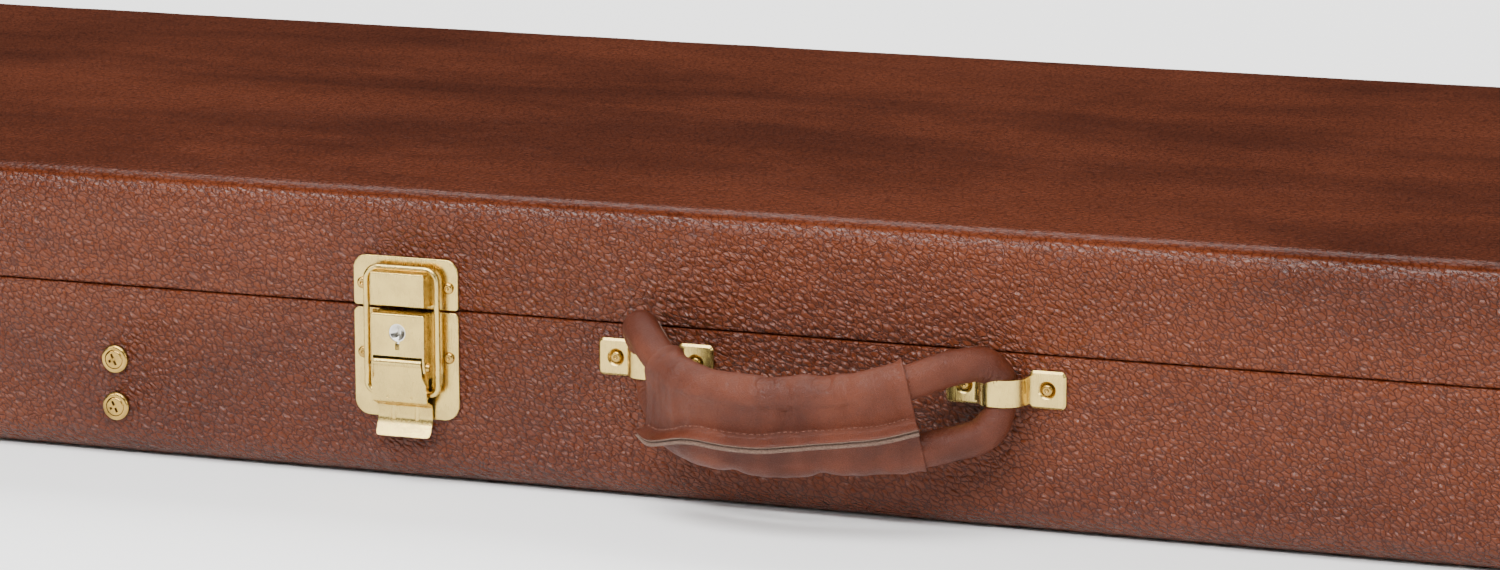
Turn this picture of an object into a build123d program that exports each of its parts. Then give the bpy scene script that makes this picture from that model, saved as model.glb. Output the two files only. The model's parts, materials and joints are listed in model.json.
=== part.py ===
from build123d import *

import os
from math import atan2, cos, degrees, radians, sin

# A covered wooden guitar case lying flat: +X along its length, the handle side faces -Y, +Z up.
# The origin is the centre of the face it rests on. Millimetres.

# ---- driving dimensions ----
LENGTH = 1050.0
WIDTH = 380.0
BASE_HEIGHT = 65.6          # height of the parting line between base and lid
LID_HEIGHT = 42.4
SKIN = 1.0                  # thickness of the leathercloth
PLY = 8.0                   # panels and wall boards
EDGE_R = 12.0               # long top and bottom edges
CORNER_R = 20.0             # upright corners
LINER = 4.0                 # thin board inside the base walls; it stands up past the rim
TONGUE_RISE = 6.4
TONGUE_GAP = 0.6            # the tongue clears the closed lid by this much
WALL_PAD = 5.0
FLOOR_PAD = 6.0
LID_PAD = 10.0

HANDLE_X = 70.0             # the handle hangs at the balance point, nearer the body of the guitar
HANDLE_Z = 53.3
BRACKET_REACH = 66.0        # from the middle of the handle to each bracket
LATCH_XS = {"left": -400.0, "lock": -94.0, "right": 400.0}
HINGE_XS = {"left": -380.0, "middle": 0.0, "right": 380.0}
PARTITION_X = -213.5        # board that carries the neck
FOOT_XS = (-470.0, 470.0)

# ---- derived sizes ----
HALF_L = LENGTH / 2
HALF_W = WIDTH / 2
HEIGHT = BASE_HEIGHT + LID_HEIGHT
PART_Z = BASE_HEIGHT
WALL = SKIN + PLY                       # outside face to the inside of a wall board
LINED = WALL + LINER                    # outside face to the inside of the liner board
PADDED = LINED + WALL_PAD               # outside face to the plush of a base wall
FLOOR_Z = SKIN + PLY
BED_Z = FLOOR_Z + FLOOR_PAD             # what the guitar lies on
CEILING_Z = HEIGHT - SKIN - PLY
TONGUE_Z = PART_Z + TONGUE_RISE
FIT = 0.05                              # radial clearance round pins, rivets and screws

CENTRED = (Align.CENTER, Align.CENTER, Align.CENTER)
STAND = (Align.CENTER, Align.CENTER, Align.MIN)
HANG = (Align.CENTER, Align.CENTER, Align.MAX)

os.makedirs("parts", exist_ok=True)


def save(name, piece):
    """Label a finished piece and write it as its own STEP file."""
    piece.part.label = name
    export_step(piece.part, f"parts/{name}.step")


def front_at(x, z):
    """Plane on the front of the case: local x along +X, local y up, normal outwards."""
    return Plane(origin=(x, -HALF_W, z), x_dir=(1, 0, 0), z_dir=(0, -1, 0))


def back_at(x, z):
    """Plane on the back of the case: local y up, normal outwards."""
    return Plane(origin=(x, HALF_W, z), x_dir=(-1, 0, 0), z_dir=(0, 1, 0))


def profile_at(x):
    """Plane across the front fittings: local x outwards from the front, local y up from the parting line."""
    return Plane(origin=(x, -HALF_W, PART_Z), x_dir=(0, -1, 0), z_dir=(-1, 0, 0))


def block(x, y, z, mode=Mode.ADD):
    """Box between three (low, high) pairs, joined to or cut from the part being built."""
    centre = ((x[0] + x[1]) / 2, (y[0] + y[1]) / 2, (z[0] + z[1]) / 2)
    with Locations(centre):
        Box(x[1] - x[0], y[1] - y[0], z[1] - z[0], align=CENTRED, mode=mode)


def case_block(inset, low, high, low_round, high_round):
    """Solid with the plan shape of the case, shrunk by inset, its bottom and top edges rounded."""
    with BuildPart() as solid:
        with BuildSketch(Plane.XY.offset(low)):
            RectangleRounded(LENGTH - 2 * inset, WIDTH - 2 * inset, CORNER_R - inset)
        extrude(amount=high - low)
        if low_round:
            fillet(solid.faces().sort_by(Axis.Z)[0].edges(), low_round)
        if high_round:
            fillet(solid.faces().sort_by(Axis.Z)[-1].edges(), high_round)
    return solid.part


def drilled(planes, radius, depth):
    """Cutters for blind holes that go depth below each plane."""
    clear = 10.0
    with BuildPart() as cutters:
        with Locations(*[plane.offset(clear) for plane in planes]):
            Cylinder(radius, clear + depth, align=HANG)
    return cutters.part


def rivet(head_radius, head_height, shank_radius, shank_length, dimple):
    """Domed rivet along +Z, the underside of its head at z = 0."""
    with BuildPart() as piece:
        Cylinder(shank_radius, shank_length, align=HANG)
        Cylinder(head_radius, head_height, align=STAND)
        fillet(piece.faces().sort_by(Axis.Z)[-1].edges(), 0.9 * head_height)
        with Locations((0, 0, head_height + 0.4 * dimple)):
            Sphere(dimple, mode=Mode.SUBTRACT)
    return piece.part


# ---- fasteners through the shell ----
RIVET_SHANK = 1.5
RIVET_BITE = 6.0            # how far a shank goes into a wall, covering included
SCREW_SHANK = 2.0
SCREW_BITE = 26.0
CATCH_RIVET_Z = PART_Z + 8.4
PLATE_RIVET_Z = PART_Z - 17.6
LATCH_RIVET_X = 17.0
BRACKET_RIVET_X = 15.3
HINGE_RIVET_X = 12.0
HINGE_RIVET_Z = 13.0
SCREW_ZS = (37.5, 19.4)

SIDES = (-1, 1)
bracket_centres = {"left": HANDLE_X - BRACKET_REACH, "right": HANDLE_X + BRACKET_REACH}


def pairs(centres, reach):
    """Places reach to each side of every centre."""
    return [x + side * reach for x in centres for side in SIDES]


catch_rivet_planes = [front_at(x, CATCH_RIVET_Z) for x in pairs(LATCH_XS.values(), LATCH_RIVET_X)]
plate_rivet_planes = [front_at(x, PLATE_RIVET_Z) for x in pairs(LATCH_XS.values(), LATCH_RIVET_X)]
bracket_rivet_planes = [front_at(x, HANDLE_Z) for x in pairs(bracket_centres.values(), BRACKET_RIVET_X)]
base_hinge_planes = [back_at(x, PART_Z - HINGE_RIVET_Z) for x in pairs(HINGE_XS.values(), HINGE_RIVET_X)]
lid_hinge_planes = [back_at(x, PART_Z + HINGE_RIVET_Z) for x in pairs(HINGE_XS.values(), HINGE_RIVET_X)]
screw_planes = [plane_at(PARTITION_X, z) for plane_at in (front_at, back_at) for z in SCREW_ZS]

base_rivet_planes = plate_rivet_planes + bracket_rivet_planes + base_hinge_planes
base_drill = drilled(base_rivet_planes, RIVET_SHANK + FIT, RIVET_BITE)
lid_drill = drilled(catch_rivet_planes + lid_hinge_planes, RIVET_SHANK + FIT, RIVET_BITE)
screw_drill = drilled(screw_planes, SCREW_SHANK + FIT, SCREW_BITE + 0.5)

# ---- wooden shell: panels, wall boards and bent corner posts ----
X_RUN = (-HALF_L + CORNER_R, HALF_L - CORNER_R)     # straight part of a long wall
Y_RUN = (-HALF_W + CORNER_R, HALF_W - CORNER_R)     # straight part of an end wall
FRONT_Y = (-HALF_W, -HALF_W + CORNER_R)
BACK_Y = (HALF_W - CORNER_R, HALF_W)
LEFT_X = (-HALF_L, -HALF_L + CORNER_R)
RIGHT_X = (HALF_L - CORNER_R, HALF_L)


def wooden_box(low, high, low_round, high_round, hollow_low, hollow_high):
    """The covered timber of one half of the case, as one solid before it is cut into boards."""
    with BuildPart() as wood:
        add(case_block(SKIN, low, high, low_round, high_round))
        with BuildSketch(Plane.XY.offset(hollow_low)):
            RectangleRounded(LENGTH - 2 * WALL, WIDTH - 2 * WALL, CORNER_R - WALL)
        extrude(amount=hollow_high - hollow_low, mode=Mode.SUBTRACT)
    return wood.part


def save_board(name, wood, spans, drills=()):
    """Save the timber inside the given spans, one solid for each, with its fastener holes."""
    with BuildPart() as board:
        for x, y, z in spans:
            block(x, y, z)
        add(wood, mode=Mode.INTERSECT)
        for drill in drills:
            add(drill, mode=Mode.SUBTRACT)
    save(name, board)


base_wood = wooden_box(SKIN, PART_Z - SKIN, EDGE_R - SKIN, 0, FLOOR_Z, PART_Z)
lid_wood = wooden_box(PART_Z + SKIN, HEIGHT - SKIN, 0, EDGE_R - SKIN, PART_Z, CEILING_Z)
BASE_Z = (FLOOR_Z, PART_Z)
LID_Z = (PART_Z, CEILING_Z)
CORNERS = [(x, y) for x in (LEFT_X, RIGHT_X) for y in (FRONT_Y, BACK_Y)]

save_board("base_panel", base_wood, [((-HALF_L, HALF_L), (-HALF_W, HALF_W), (0, FLOOR_Z))])
save_board("base_front_board", base_wood, [(X_RUN, FRONT_Y, BASE_Z)], (base_drill, screw_drill))
save_board("base_back_board", base_wood, [(X_RUN, BACK_Y, BASE_Z)], (base_drill, screw_drill))
save_board("base_end_boards", base_wood, [(x, Y_RUN, BASE_Z) for x in (LEFT_X, RIGHT_X)])
save_board("base_corner_posts", base_wood, [(x, y, BASE_Z) for x, y in CORNERS])
save_board("lid_panel", lid_wood, [((-HALF_L, HALF_L), (-HALF_W, HALF_W), (CEILING_Z, HEIGHT))])
save_board("lid_front_board", lid_wood, [(X_RUN, FRONT_Y, LID_Z)], (lid_drill,))
save_board("lid_back_board", lid_wood, [(X_RUN, BACK_Y, LID_Z)], (lid_drill,))
save_board("lid_end_boards", lid_wood, [(x, Y_RUN, LID_Z) for x in (LEFT_X, RIGHT_X)])
save_board("lid_corner_posts", lid_wood, [(x, y, LID_Z) for x, y in CORNERS])

# ---- leathercloth skins, turned over the rims ----
with BuildPart() as base_bottom_sheet:
    with BuildSketch(Plane.XY):
        RectangleRounded(LENGTH - 2 * EDGE_R, WIDTH - 2 * EDGE_R, CORNER_R - EDGE_R)
    extrude(amount=SKIN)
save("base_bottom_sheet", base_bottom_sheet)

with BuildPart() as base_covering:
    add(case_block(0, 0, PART_Z, EDGE_R, 0))
    add(case_block(SKIN, SKIN, PART_Z - SKIN, EDGE_R - SKIN, 0), mode=Mode.SUBTRACT)
    with BuildSketch(Plane.XY.offset(PART_Z - SKIN)):
        RectangleRounded(LENGTH - 2 * WALL, WIDTH - 2 * WALL, CORNER_R - WALL)
    extrude(amount=SKIN, mode=Mode.SUBTRACT)
    add(base_bottom_sheet.part, mode=Mode.SUBTRACT)
    add(base_drill, mode=Mode.SUBTRACT)
    add(screw_drill, mode=Mode.SUBTRACT)
save("base_covering", base_covering)

with BuildPart() as lid_covering:
    add(case_block(0, PART_Z, HEIGHT, 0, EDGE_R))
    add(case_block(SKIN, PART_Z + SKIN, HEIGHT - SKIN, 0, EDGE_R - SKIN), mode=Mode.SUBTRACT)
    with BuildSketch(Plane.XY.offset(PART_Z)):
        RectangleRounded(LENGTH - 2 * WALL, WIDTH - 2 * WALL, CORNER_R - WALL)
    extrude(amount=SKIN, mode=Mode.SUBTRACT)
    add(lid_drill, mode=Mode.SUBTRACT)
save("lid_covering", lid_covering)

# ---- tongue: a thin board inside each base wall that stands up past the rim and guides the lid ----
TONGUE_ROUND = 1.4
with BuildPart() as rim_tongue:
    for side in SIDES:
        inner_y = side * (HALF_W - LINED)
        outer_y = side * (HALF_W - WALL)
        relief_y = side * (HALF_W - WALL - TONGUE_GAP)
        block(X_RUN, sorted((inner_y, outer_y)), (FLOOR_Z, PART_Z))
        block(X_RUN, sorted((inner_y, relief_y)), (PART_Z, TONGUE_Z))
        inner_x = side * (HALF_L - LINED)
        outer_x = side * (HALF_L - WALL)
        relief_x = side * (HALF_L - WALL - TONGUE_GAP)
        block(sorted((inner_x, outer_x)), Y_RUN, (FLOOR_Z, PART_Z))
        block(sorted((inner_x, relief_x)), Y_RUN, (PART_Z, TONGUE_Z))
    top_edges = rim_tongue.edges().filter_by_position(Axis.Z, TONGUE_Z - 0.1, TONGUE_Z + 0.1)
    fillet(top_edges.filter_by(lambda edge: edge.length > WIDTH / 2), TONGUE_ROUND)
    add(screw_drill, mode=Mode.SUBTRACT)
save("rim_tongue", rim_tongue)

# ---- neck partition, screwed from outside through cup washers ----
PARTITION_T = 9.0
PARTITION_TOP = 62.0
NOTCH_WIDTH = 64.0
NOTCH_Z = 40.0
PARTITION_FACES = (PARTITION_X - PARTITION_T / 2, PARTITION_X + PARTITION_T / 2)
with BuildPart() as neck_partition:
    with BuildSketch(Plane.YZ.offset(PARTITION_FACES[0])) as outline:
        with Locations((0, (FLOOR_Z + PARTITION_TOP) / 2)):
            Rectangle(WIDTH - 2 * LINED, PARTITION_TOP - FLOOR_Z)
        with Locations((0, NOTCH_Z + PARTITION_TOP / 2)):
            Rectangle(NOTCH_WIDTH, PARTITION_TOP, mode=Mode.SUBTRACT)
        fillet(outline.vertices().group_by(Axis.Y)[-1], 4.0)
    extrude(amount=PARTITION_T)
    add(screw_drill, mode=Mode.SUBTRACT)
save("neck_partition", neck_partition)

WASHER_R = 5.5
WASHER_H = 1.8
SCREW_HEAD_R = 3.7
RECESS_SPAN = 4.6
RECESS_W = 1.0
RECESS_DEEP = 1.8
with BuildPart() as cup_washers:
    with Locations(*screw_planes):
        Cylinder(WASHER_R, WASHER_H, align=STAND)
    rims = cup_washers.edges().filter_by(GeomType.CIRCLE)
    fillet(rims.filter_by(lambda edge: abs(edge.center().Y) > HALF_W + WASHER_H / 2), 1.2)
    with Locations(*[plane.offset(WASHER_H) for plane in screw_planes]):
        Cylinder(SCREW_HEAD_R, 1.1, align=HANG, mode=Mode.SUBTRACT)
    add(screw_drill, mode=Mode.SUBTRACT)
save("cup_washers", cup_washers)

with BuildPart() as screw:
    Cylinder(SCREW_SHANK, SCREW_BITE + WASHER_H - 1.1, align=HANG)
    Cylinder(SCREW_HEAD_R - FIT, 1.3, align=STAND)
    fillet(screw.faces().sort_by(Axis.Z)[-1].edges(), 0.8)
    with Locations(Pos(0, 0, 1.3) * Rot(0, 0, 25)):
        Box(RECESS_SPAN, RECESS_W, RECESS_DEEP, mode=Mode.SUBTRACT)
        Box(RECESS_W, RECESS_SPAN, RECESS_DEEP, mode=Mode.SUBTRACT)
with BuildPart() as partition_screws:
    with Locations(*[plane.offset(WASHER_H - 1.1) for plane in screw_planes]):
        add(screw.part)
save("partition_screws", partition_screws)

# ---- padding and compartment in the base ----
BAYS = ((-HALF_L + LINED, PARTITION_FACES[0]), (PARTITION_FACES[1], HALF_L - LINED))
with BuildPart() as base_floor_pad:
    for bay in BAYS:
        block(bay, (-HALF_W + LINED, HALF_W - LINED), (FLOOR_Z, BED_Z))
save("base_floor_pad", base_floor_pad)

WALL_PAD_TOP = TONGUE_Z - 3.0
PAD_Z = (BED_Z, WALL_PAD_TOP)
with BuildPart() as base_wall_lining:
    for side in SIDES:
        pad_y = sorted((side * (HALF_W - PADDED), side * (HALF_W - LINED)))
        pad_x = sorted((side * (HALF_L - PADDED), side * (HALF_L - LINED)))
        block((X_RUN[0], PARTITION_FACES[0]), pad_y, PAD_Z)
        block((PARTITION_FACES[1], X_RUN[1]), pad_y, PAD_Z)
        block(pad_x, (-HALF_W + PADDED, HALF_W - PADDED), PAD_Z)
save("base_wall_lining", base_wall_lining)

NECK_PAD_T = 6.0
with BuildPart() as neck_rest_pad:
    pad_x = (PARTITION_X - 11, PARTITION_X + 11)
    block(pad_x, (-NOTCH_WIDTH / 2, NOTCH_WIDTH / 2), (NOTCH_Z, NOTCH_Z + NECK_PAD_T))
    fillet(neck_rest_pad.faces().sort_by(Axis.Z)[-1].edges().filter_by(Axis.Y), 3.0)
save("neck_rest_pad", neck_rest_pad)

BIN_END_X = 15.0
BIN_WALL = 6.0
BIN_INNER_Y = -50.0
BIN_TOP = 58.0
BIN_X = (PARTITION_FACES[1], BIN_END_X)
with BuildPart() as compartment_walls:
    block(BIN_X, (BIN_INNER_Y - BIN_WALL, BIN_INNER_Y), (BED_Z, BIN_TOP))
    block((BIN_END_X - BIN_WALL, BIN_END_X), (-HALF_W + PADDED, BIN_INNER_Y - BIN_WALL), (BED_Z, BIN_TOP))
save("compartment_walls", compartment_walls)

LIDLET_T = 5.0
LIDLET_GAP = 1.0
LIDLET_HINGE_Y = -HALF_W + PADDED + 0.6
LIDLET_Z = (BIN_TOP, BIN_TOP + LIDLET_T)
with BuildPart() as compartment_lid:
    lidlet_y = (LIDLET_HINGE_Y + 0.2, BIN_INNER_Y - LIDLET_GAP)
    block((BIN_X[0] + LIDLET_GAP, BIN_X[1]), lidlet_y, LIDLET_Z)
    fillet(compartment_lid.faces().sort_by(Axis.Y)[-1].edges().filter_by(Axis.X), 1.5)
save("compartment_lid", compartment_lid)

TAPE_T = 0.5
TAPE_LEG = 13.0
TAPE_X = (BIN_X[0] + 6, BIN_X[1] - 6)
with BuildPart() as compartment_hinge_tape:
    block(TAPE_X, (-HALF_W + PADDED, -HALF_W + PADDED + TAPE_T), (LIDLET_Z[1], LIDLET_Z[1] + 5))
    block(TAPE_X, (-HALF_W + PADDED + TAPE_T, LIDLET_HINGE_Y + TAPE_LEG), (LIDLET_Z[1], LIDLET_Z[1] + TAPE_T))
save("compartment_hinge_tape", compartment_hinge_tape)

TAB_X = (BIN_X[0] + BIN_X[1]) / 2
with BuildPart() as compartment_pull_tab:
    block((TAB_X - 9, TAB_X + 9), (BIN_INNER_Y - 16, BIN_INNER_Y + 8), (LIDLET_Z[1], LIDLET_Z[1] + 1.2))
    fillet(compartment_pull_tab.faces().sort_by(Axis.Y)[-1].edges().filter_by(Axis.Z), 5.0)
save("compartment_pull_tab", compartment_pull_tab)

with BuildPart() as rear_support_pad:
    block(BIN_X, (-BIN_INNER_Y, HALF_W - PADDED), (BED_Z, BIN_TOP - 3))
    fillet(rear_support_pad.faces().sort_by(Axis.Z)[-1].edges().filter_by(Axis.X)[0], 4.0)
save("rear_support_pad", rear_support_pad)

BOUT_DEPTH = 62.0
with BuildPart() as bout_pads:
    with BuildSketch(Plane.XY.offset(BED_Z)) as corner:
        for side in SIDES:
            end_x = HALF_L - PADDED
            end_y = side * (HALF_W - PADDED)
            with BuildLine():
                Line((end_x, end_y), (end_x - BOUT_DEPTH, end_y))
                RadiusArc((end_x - BOUT_DEPTH, end_y), (end_x, end_y - side * BOUT_DEPTH), side * 120)
                Line((end_x, end_y - side * BOUT_DEPTH), (end_x, end_y))
            make_face()
    extrude(amount=BIN_TOP - 3 - BED_Z)
save("bout_pads", bout_pads)

# ---- padding in the lid ----
with BuildPart() as lid_pad:
    lid_pad_x = (-HALF_L + LINED, HALF_L - LINED)
    block(lid_pad_x, (-HALF_W + LINED, HALF_W - LINED), (CEILING_Z - LID_PAD, CEILING_Z))
save("lid_pad", lid_pad)

with BuildPart() as lid_wall_lining:
    for side in SIDES:
        strip_y = sorted((side * (HALF_W - LINED), side * (HALF_W - WALL)))
        strip_x = sorted((side * (HALF_L - LINED), side * (HALF_L - WALL)))
        block(X_RUN, strip_y, (TONGUE_Z + 2, CEILING_Z))
        block(strip_x, Y_RUN, (TONGUE_Z + 2, CEILING_Z))
save("lid_wall_lining", lid_wall_lining)

# ---- draw latches: catch plate on the lid, latch plate, lever and wire bail on the base ----
PLATE_WIDTH = 41.6
PLATE_T = 1.0
CATCH_TOP = 18.9
PLATE_TOP = -0.8
PLATE_LOW = -41.2
CATCH_HALF = 10.95
CATCH_Z = (1.7, 13.9)
CATCH_REACH = 9.0
CATCH_LIP = 14.35
HOUSING_HALF = 10.7
HOUSING_REACH = 9.2
HOUSING_LOW = -16.6
SHEET = 0.9
PIVOT = (6.3, -20.6)        # lever pivot, outwards and up from the parting line
BAIL_SEAT = (4.6, -31.0)    # where the bail hangs in the lever
PIN_R = 1.2
PIN_HEAD_R = 1.8
PIN_HEAD_H = 1.1
LEVER_HALF = 9.4
TAIL_HALF = 10.8
LEVER_T = 0.8
BAIL_R = 1.2
BAIL_HALF = 14.0
BAIL_TOP = 15.5
BAIL_TIP = 8.2
RIB_X = 4.7
KEY_Z = -7.8
BARREL_R = 3.3
RIVET_HEAD_R = 2.2
RIVET_HEAD_H = 1.2
fitting_rivet = rivet(RIVET_HEAD_R, RIVET_HEAD_H, RIVET_SHANK, RIVET_BITE + PLATE_T - 0.3, 0.8)


def riveted_plate(x, low, high, low_round, high_round):
    """Sheet with rounded corners flat on the front, its outer edge softened."""
    with BuildPart() as plate:
        with BuildSketch(front_at(x, PART_Z)) as outline:
            with Locations((0, (low + high) / 2)):
                Rectangle(PLATE_WIDTH, high - low)
            fillet(outline.vertices().group_by(Axis.Y)[0], low_round)
            fillet(outline.vertices().group_by(Axis.Y)[-1], high_round)
        extrude(amount=PLATE_T)
        fillet(plate.faces().sort_by(Axis.Y)[0].edges(), 0.45)
    return plate.part


def save_catch_plate(side, x):
    """Plate on the lid with the pressed block that the bail pulls on."""
    with BuildPart() as catch:
        add(riveted_plate(x, 0, CATCH_TOP, 1.5, 5))
        with BuildSketch(front_at(x, PART_Z).offset(PLATE_T / 2)):
            with Locations((0, (CATCH_Z[0] + CATCH_Z[1]) / 2)):
                Rectangle(2 * CATCH_HALF, CATCH_Z[1] - CATCH_Z[0])
        extrude(amount=CATCH_REACH - PLATE_T / 2, taper=2)
        with BuildSketch(front_at(x, PART_Z).offset(CATCH_REACH - 1.1)):
            with Locations((0, CATCH_LIP - 1)):
                Rectangle(2 * CATCH_HALF - 0.8, 2)
        extrude(amount=1.1)
        fillet(catch.faces().sort_by(Axis.Y)[0].edges(), 0.5)
        add(lid_drill, mode=Mode.SUBTRACT)
    save(f"catch_plate_{side}", catch)


def save_latch_plate(side, x, keyed):
    """Plate on the base with the sheet housing and the two ears that carry the lever."""
    with BuildPart() as latch:
        with BuildSketch(profile_at(x)):
            with BuildLine():
                Polyline(
                    (PLATE_T / 2, PLATE_TOP),
                    (HOUSING_REACH, PLATE_TOP),
                    (HOUSING_REACH, -18.6),
                    (8.4, -22.4),
                    (5.8, -25.0),
                    (PLATE_T / 2, -25.0),
                    close=True,
                )
            make_face()
        extrude(amount=HOUSING_HALF, both=True)
        front_y = -HALF_W - HOUSING_REACH
        front_edges = latch.edges().filter_by_position(Axis.Y, front_y - 0.01, front_y + 0.01)
        top_edges = latch.faces().sort_by(Axis.Z)[-1].edges().filter_by(Axis.Y)
        lowest_edge = front_edges.filter_by(Axis.X).sort_by(Axis.Z)[0]
        fillet([edge for edge in front_edges if edge != lowest_edge] + list(top_edges), 0.7)
        inner = (x - HOUSING_HALF + SHEET, x + HOUSING_HALF - SHEET)
        inside_y = (front_y + SHEET, -HALF_W)
        mouth_y = (front_y - 1, -HALF_W)
        block(inner, inside_y, (PART_Z - 27, PART_Z + PLATE_TOP - SHEET), mode=Mode.SUBTRACT)
        block(inner, mouth_y, (PART_Z - 27, PART_Z + HOUSING_LOW), mode=Mode.SUBTRACT)
        add(riveted_plate(x, PLATE_LOW, PLATE_TOP, 6, 2))
        with BuildSketch(profile_at(x)):
            with Locations(PIVOT):
                Circle(PIN_R + FIT)
        extrude(amount=HOUSING_HALF + 1, both=True, mode=Mode.SUBTRACT)
        if keyed:
            with BuildSketch(front_at(x, PART_Z + KEY_Z).offset(PLATE_T)):
                Circle(BARREL_R + FIT)
                with Locations((0, -BARREL_R - 1.3)):
                    Rectangle(1.7, 3.4)
            extrude(amount=HOUSING_REACH, mode=Mode.SUBTRACT)
        add(base_drill, mode=Mode.SUBTRACT)
    save(f"latch_plate_{side}", latch)


def save_lever(side, x):
    """Bent sheet lever: curled top between the ears, flat flap, hooked tail with two ribs, side flanges."""
    with BuildPart() as lever:
        with BuildSketch(profile_at(x)):
            with BuildLine():
                outer = FilletPolyline(
                    (9.4, -19.6), (7.7, -34.0), (3.1, -36.2), (2.5, -41.5), (5.6, -47.4),
                    radius=[0.9, 1.6, 6.0],
                )
                offset(outer, amount=LEVER_T, side=Side.RIGHT)
            make_face()
        extrude(amount=TAIL_HALF, both=True)
        with BuildSketch(front_at(x, PART_Z)) as outline:
            Polygon(
                (-LEVER_HALF, -17), (LEVER_HALF, -17), (LEVER_HALF, -24), (TAIL_HALF, -27),
                (TAIL_HALF, -50), (-TAIL_HALF, -50), (-TAIL_HALF, -27), (-LEVER_HALF, -24), align=None,
            )
        extrude(amount=14, mode=Mode.INTERSECT)
        across = lever.edges().filter_by(Axis.Y, tolerance=60)
        tail_edges = across.filter_by_position(Axis.Z, PART_Z - 49, PART_Z - 46.2)
        fillet([edge for edge in tail_edges if edge.length < 2], 1.6)
        with BuildSketch(profile_at(x)):
            with Locations((8.3, -19.1)):
                Circle(1.6)
        extrude(amount=LEVER_HALF, both=True)
        for rib in SIDES:
            with Locations((x + rib * RIB_X, -HALF_W - 2.2, PART_Z - 38.6)):
                Cylinder(1.05, 5.0)
            with Locations((x + rib * RIB_X, -HALF_W - 2.2, PART_Z - 41.1)):
                Sphere(1.05)
            with Locations((x + rib * RIB_X, -HALF_W - 8.4, PART_Z - 32.2)):
                Sphere(0.75, mode=Mode.SUBTRACT)
        for edge_x in SIDES:
            with BuildSketch(profile_at(x + edge_x * (LEVER_HALF - LEVER_T / 2))) as flange:
                Polygon((3.2, -18.6), (8.7, -18.6), (7.3, -33.2), (2.7, -33.2), (2.7, -28.6), align=None)
            extrude(amount=LEVER_T / 2, both=True)
        with BuildSketch(profile_at(x)):
            with Locations(PIVOT, BAIL_SEAT):
                Circle(PIN_R + FIT)
        extrude(amount=TAIL_HALF + 1, both=True, mode=Mode.SUBTRACT)
    save(f"lever_{side}", lever)


def save_bail(side, x):
    """Wire loop that hooks over the catch block; its ends turn in to the lever."""
    plane = front_at(x, PART_Z).offset(BAIL_SEAT[0])
    with BuildPart() as bail:
        with BuildLine(plane) as route:
            FilletPolyline(
                (-BAIL_TIP, BAIL_SEAT[1]), (-BAIL_HALF, BAIL_SEAT[1]), (-BAIL_HALF, BAIL_TOP),
                (BAIL_HALF, BAIL_TOP), (BAIL_HALF, BAIL_SEAT[1]), (BAIL_TIP, BAIL_SEAT[1]),
                radius=[3.2, 4.8, 4.8, 3.2],
            )
        with BuildSketch(Plane(origin=route.line @ 0, z_dir=route.line % 0)):
            Circle(BAIL_R)
        sweep()
    save(f"bail_{side}", bail)


for latch_side, latch_x in LATCH_XS.items():
    save_catch_plate(latch_side, latch_x)
    save_latch_plate(latch_side, latch_x, keyed=latch_side == "lock")
    save_lever(latch_side, latch_x)
    save_bail(latch_side, latch_x)

with BuildPart() as lever_pins:
    for latch_x in LATCH_XS.values():
        for side in SIDES:
            with BuildSketch(profile_at(latch_x + side * (LEVER_HALF - LEVER_T - 0.2))):
                with Locations(PIVOT):
                    Circle(PIN_R)
            extrude(amount=-side * (HOUSING_HALF - LEVER_HALF + LEVER_T + 0.2))
            with BuildSketch(profile_at(latch_x + side * HOUSING_HALF)):
                with Locations(PIVOT):
                    Circle(PIN_HEAD_R)
            extrude(amount=-side * PIN_HEAD_H, taper=18)
save("lever_pins", lever_pins)

KEY_PLANE = front_at(LATCH_XS["lock"], PART_Z + KEY_Z)
BARREL_FACE = HOUSING_REACH - 0.3
BARREL_FLANGE_R = 4.3
with BuildPart() as lock_barrel:
    with BuildSketch(KEY_PLANE.offset(5.4)):
        Circle(BARREL_R)
    extrude(amount=BARREL_FACE - 5.4)
    with BuildSketch(KEY_PLANE.offset(6.6)):
        Circle(BARREL_FLANGE_R)
    extrude(amount=1.5)
    with BuildSketch(KEY_PLANE.offset(4.0)):
        with Locations((0, 1.6)):
            SlotOverall(7.4, 3.4, rotation=90)
    extrude(amount=1.6)
    with Locations(KEY_PLANE.offset(BARREL_FACE)):
        Cone(0.9, BARREL_R - 0.4, 1.4, align=HANG, mode=Mode.SUBTRACT)
    with BuildSketch(KEY_PLANE.offset(BARREL_FACE)):
        SlotOverall(4.4, 1.3, rotation=60)
    extrude(amount=-3.2, mode=Mode.SUBTRACT)
save("lock_barrel", lock_barrel)

# ---- handle: a leather-covered rope ring through two strap brackets, with a folded sleeve as the grip ----
STRAP_T = 1.3
STRAP_HALF = 9.0
STRAP_REACH = 12.6
STRAP_HEIGHT = 9.6
FOOT_SIZE = 13.6
FOOT_BEVEL = 0.8
FLARE_END = 12.2            # where the strap's flared ends meet the flat of the feet
HEAD_RECESS_R = 3.3


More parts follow.
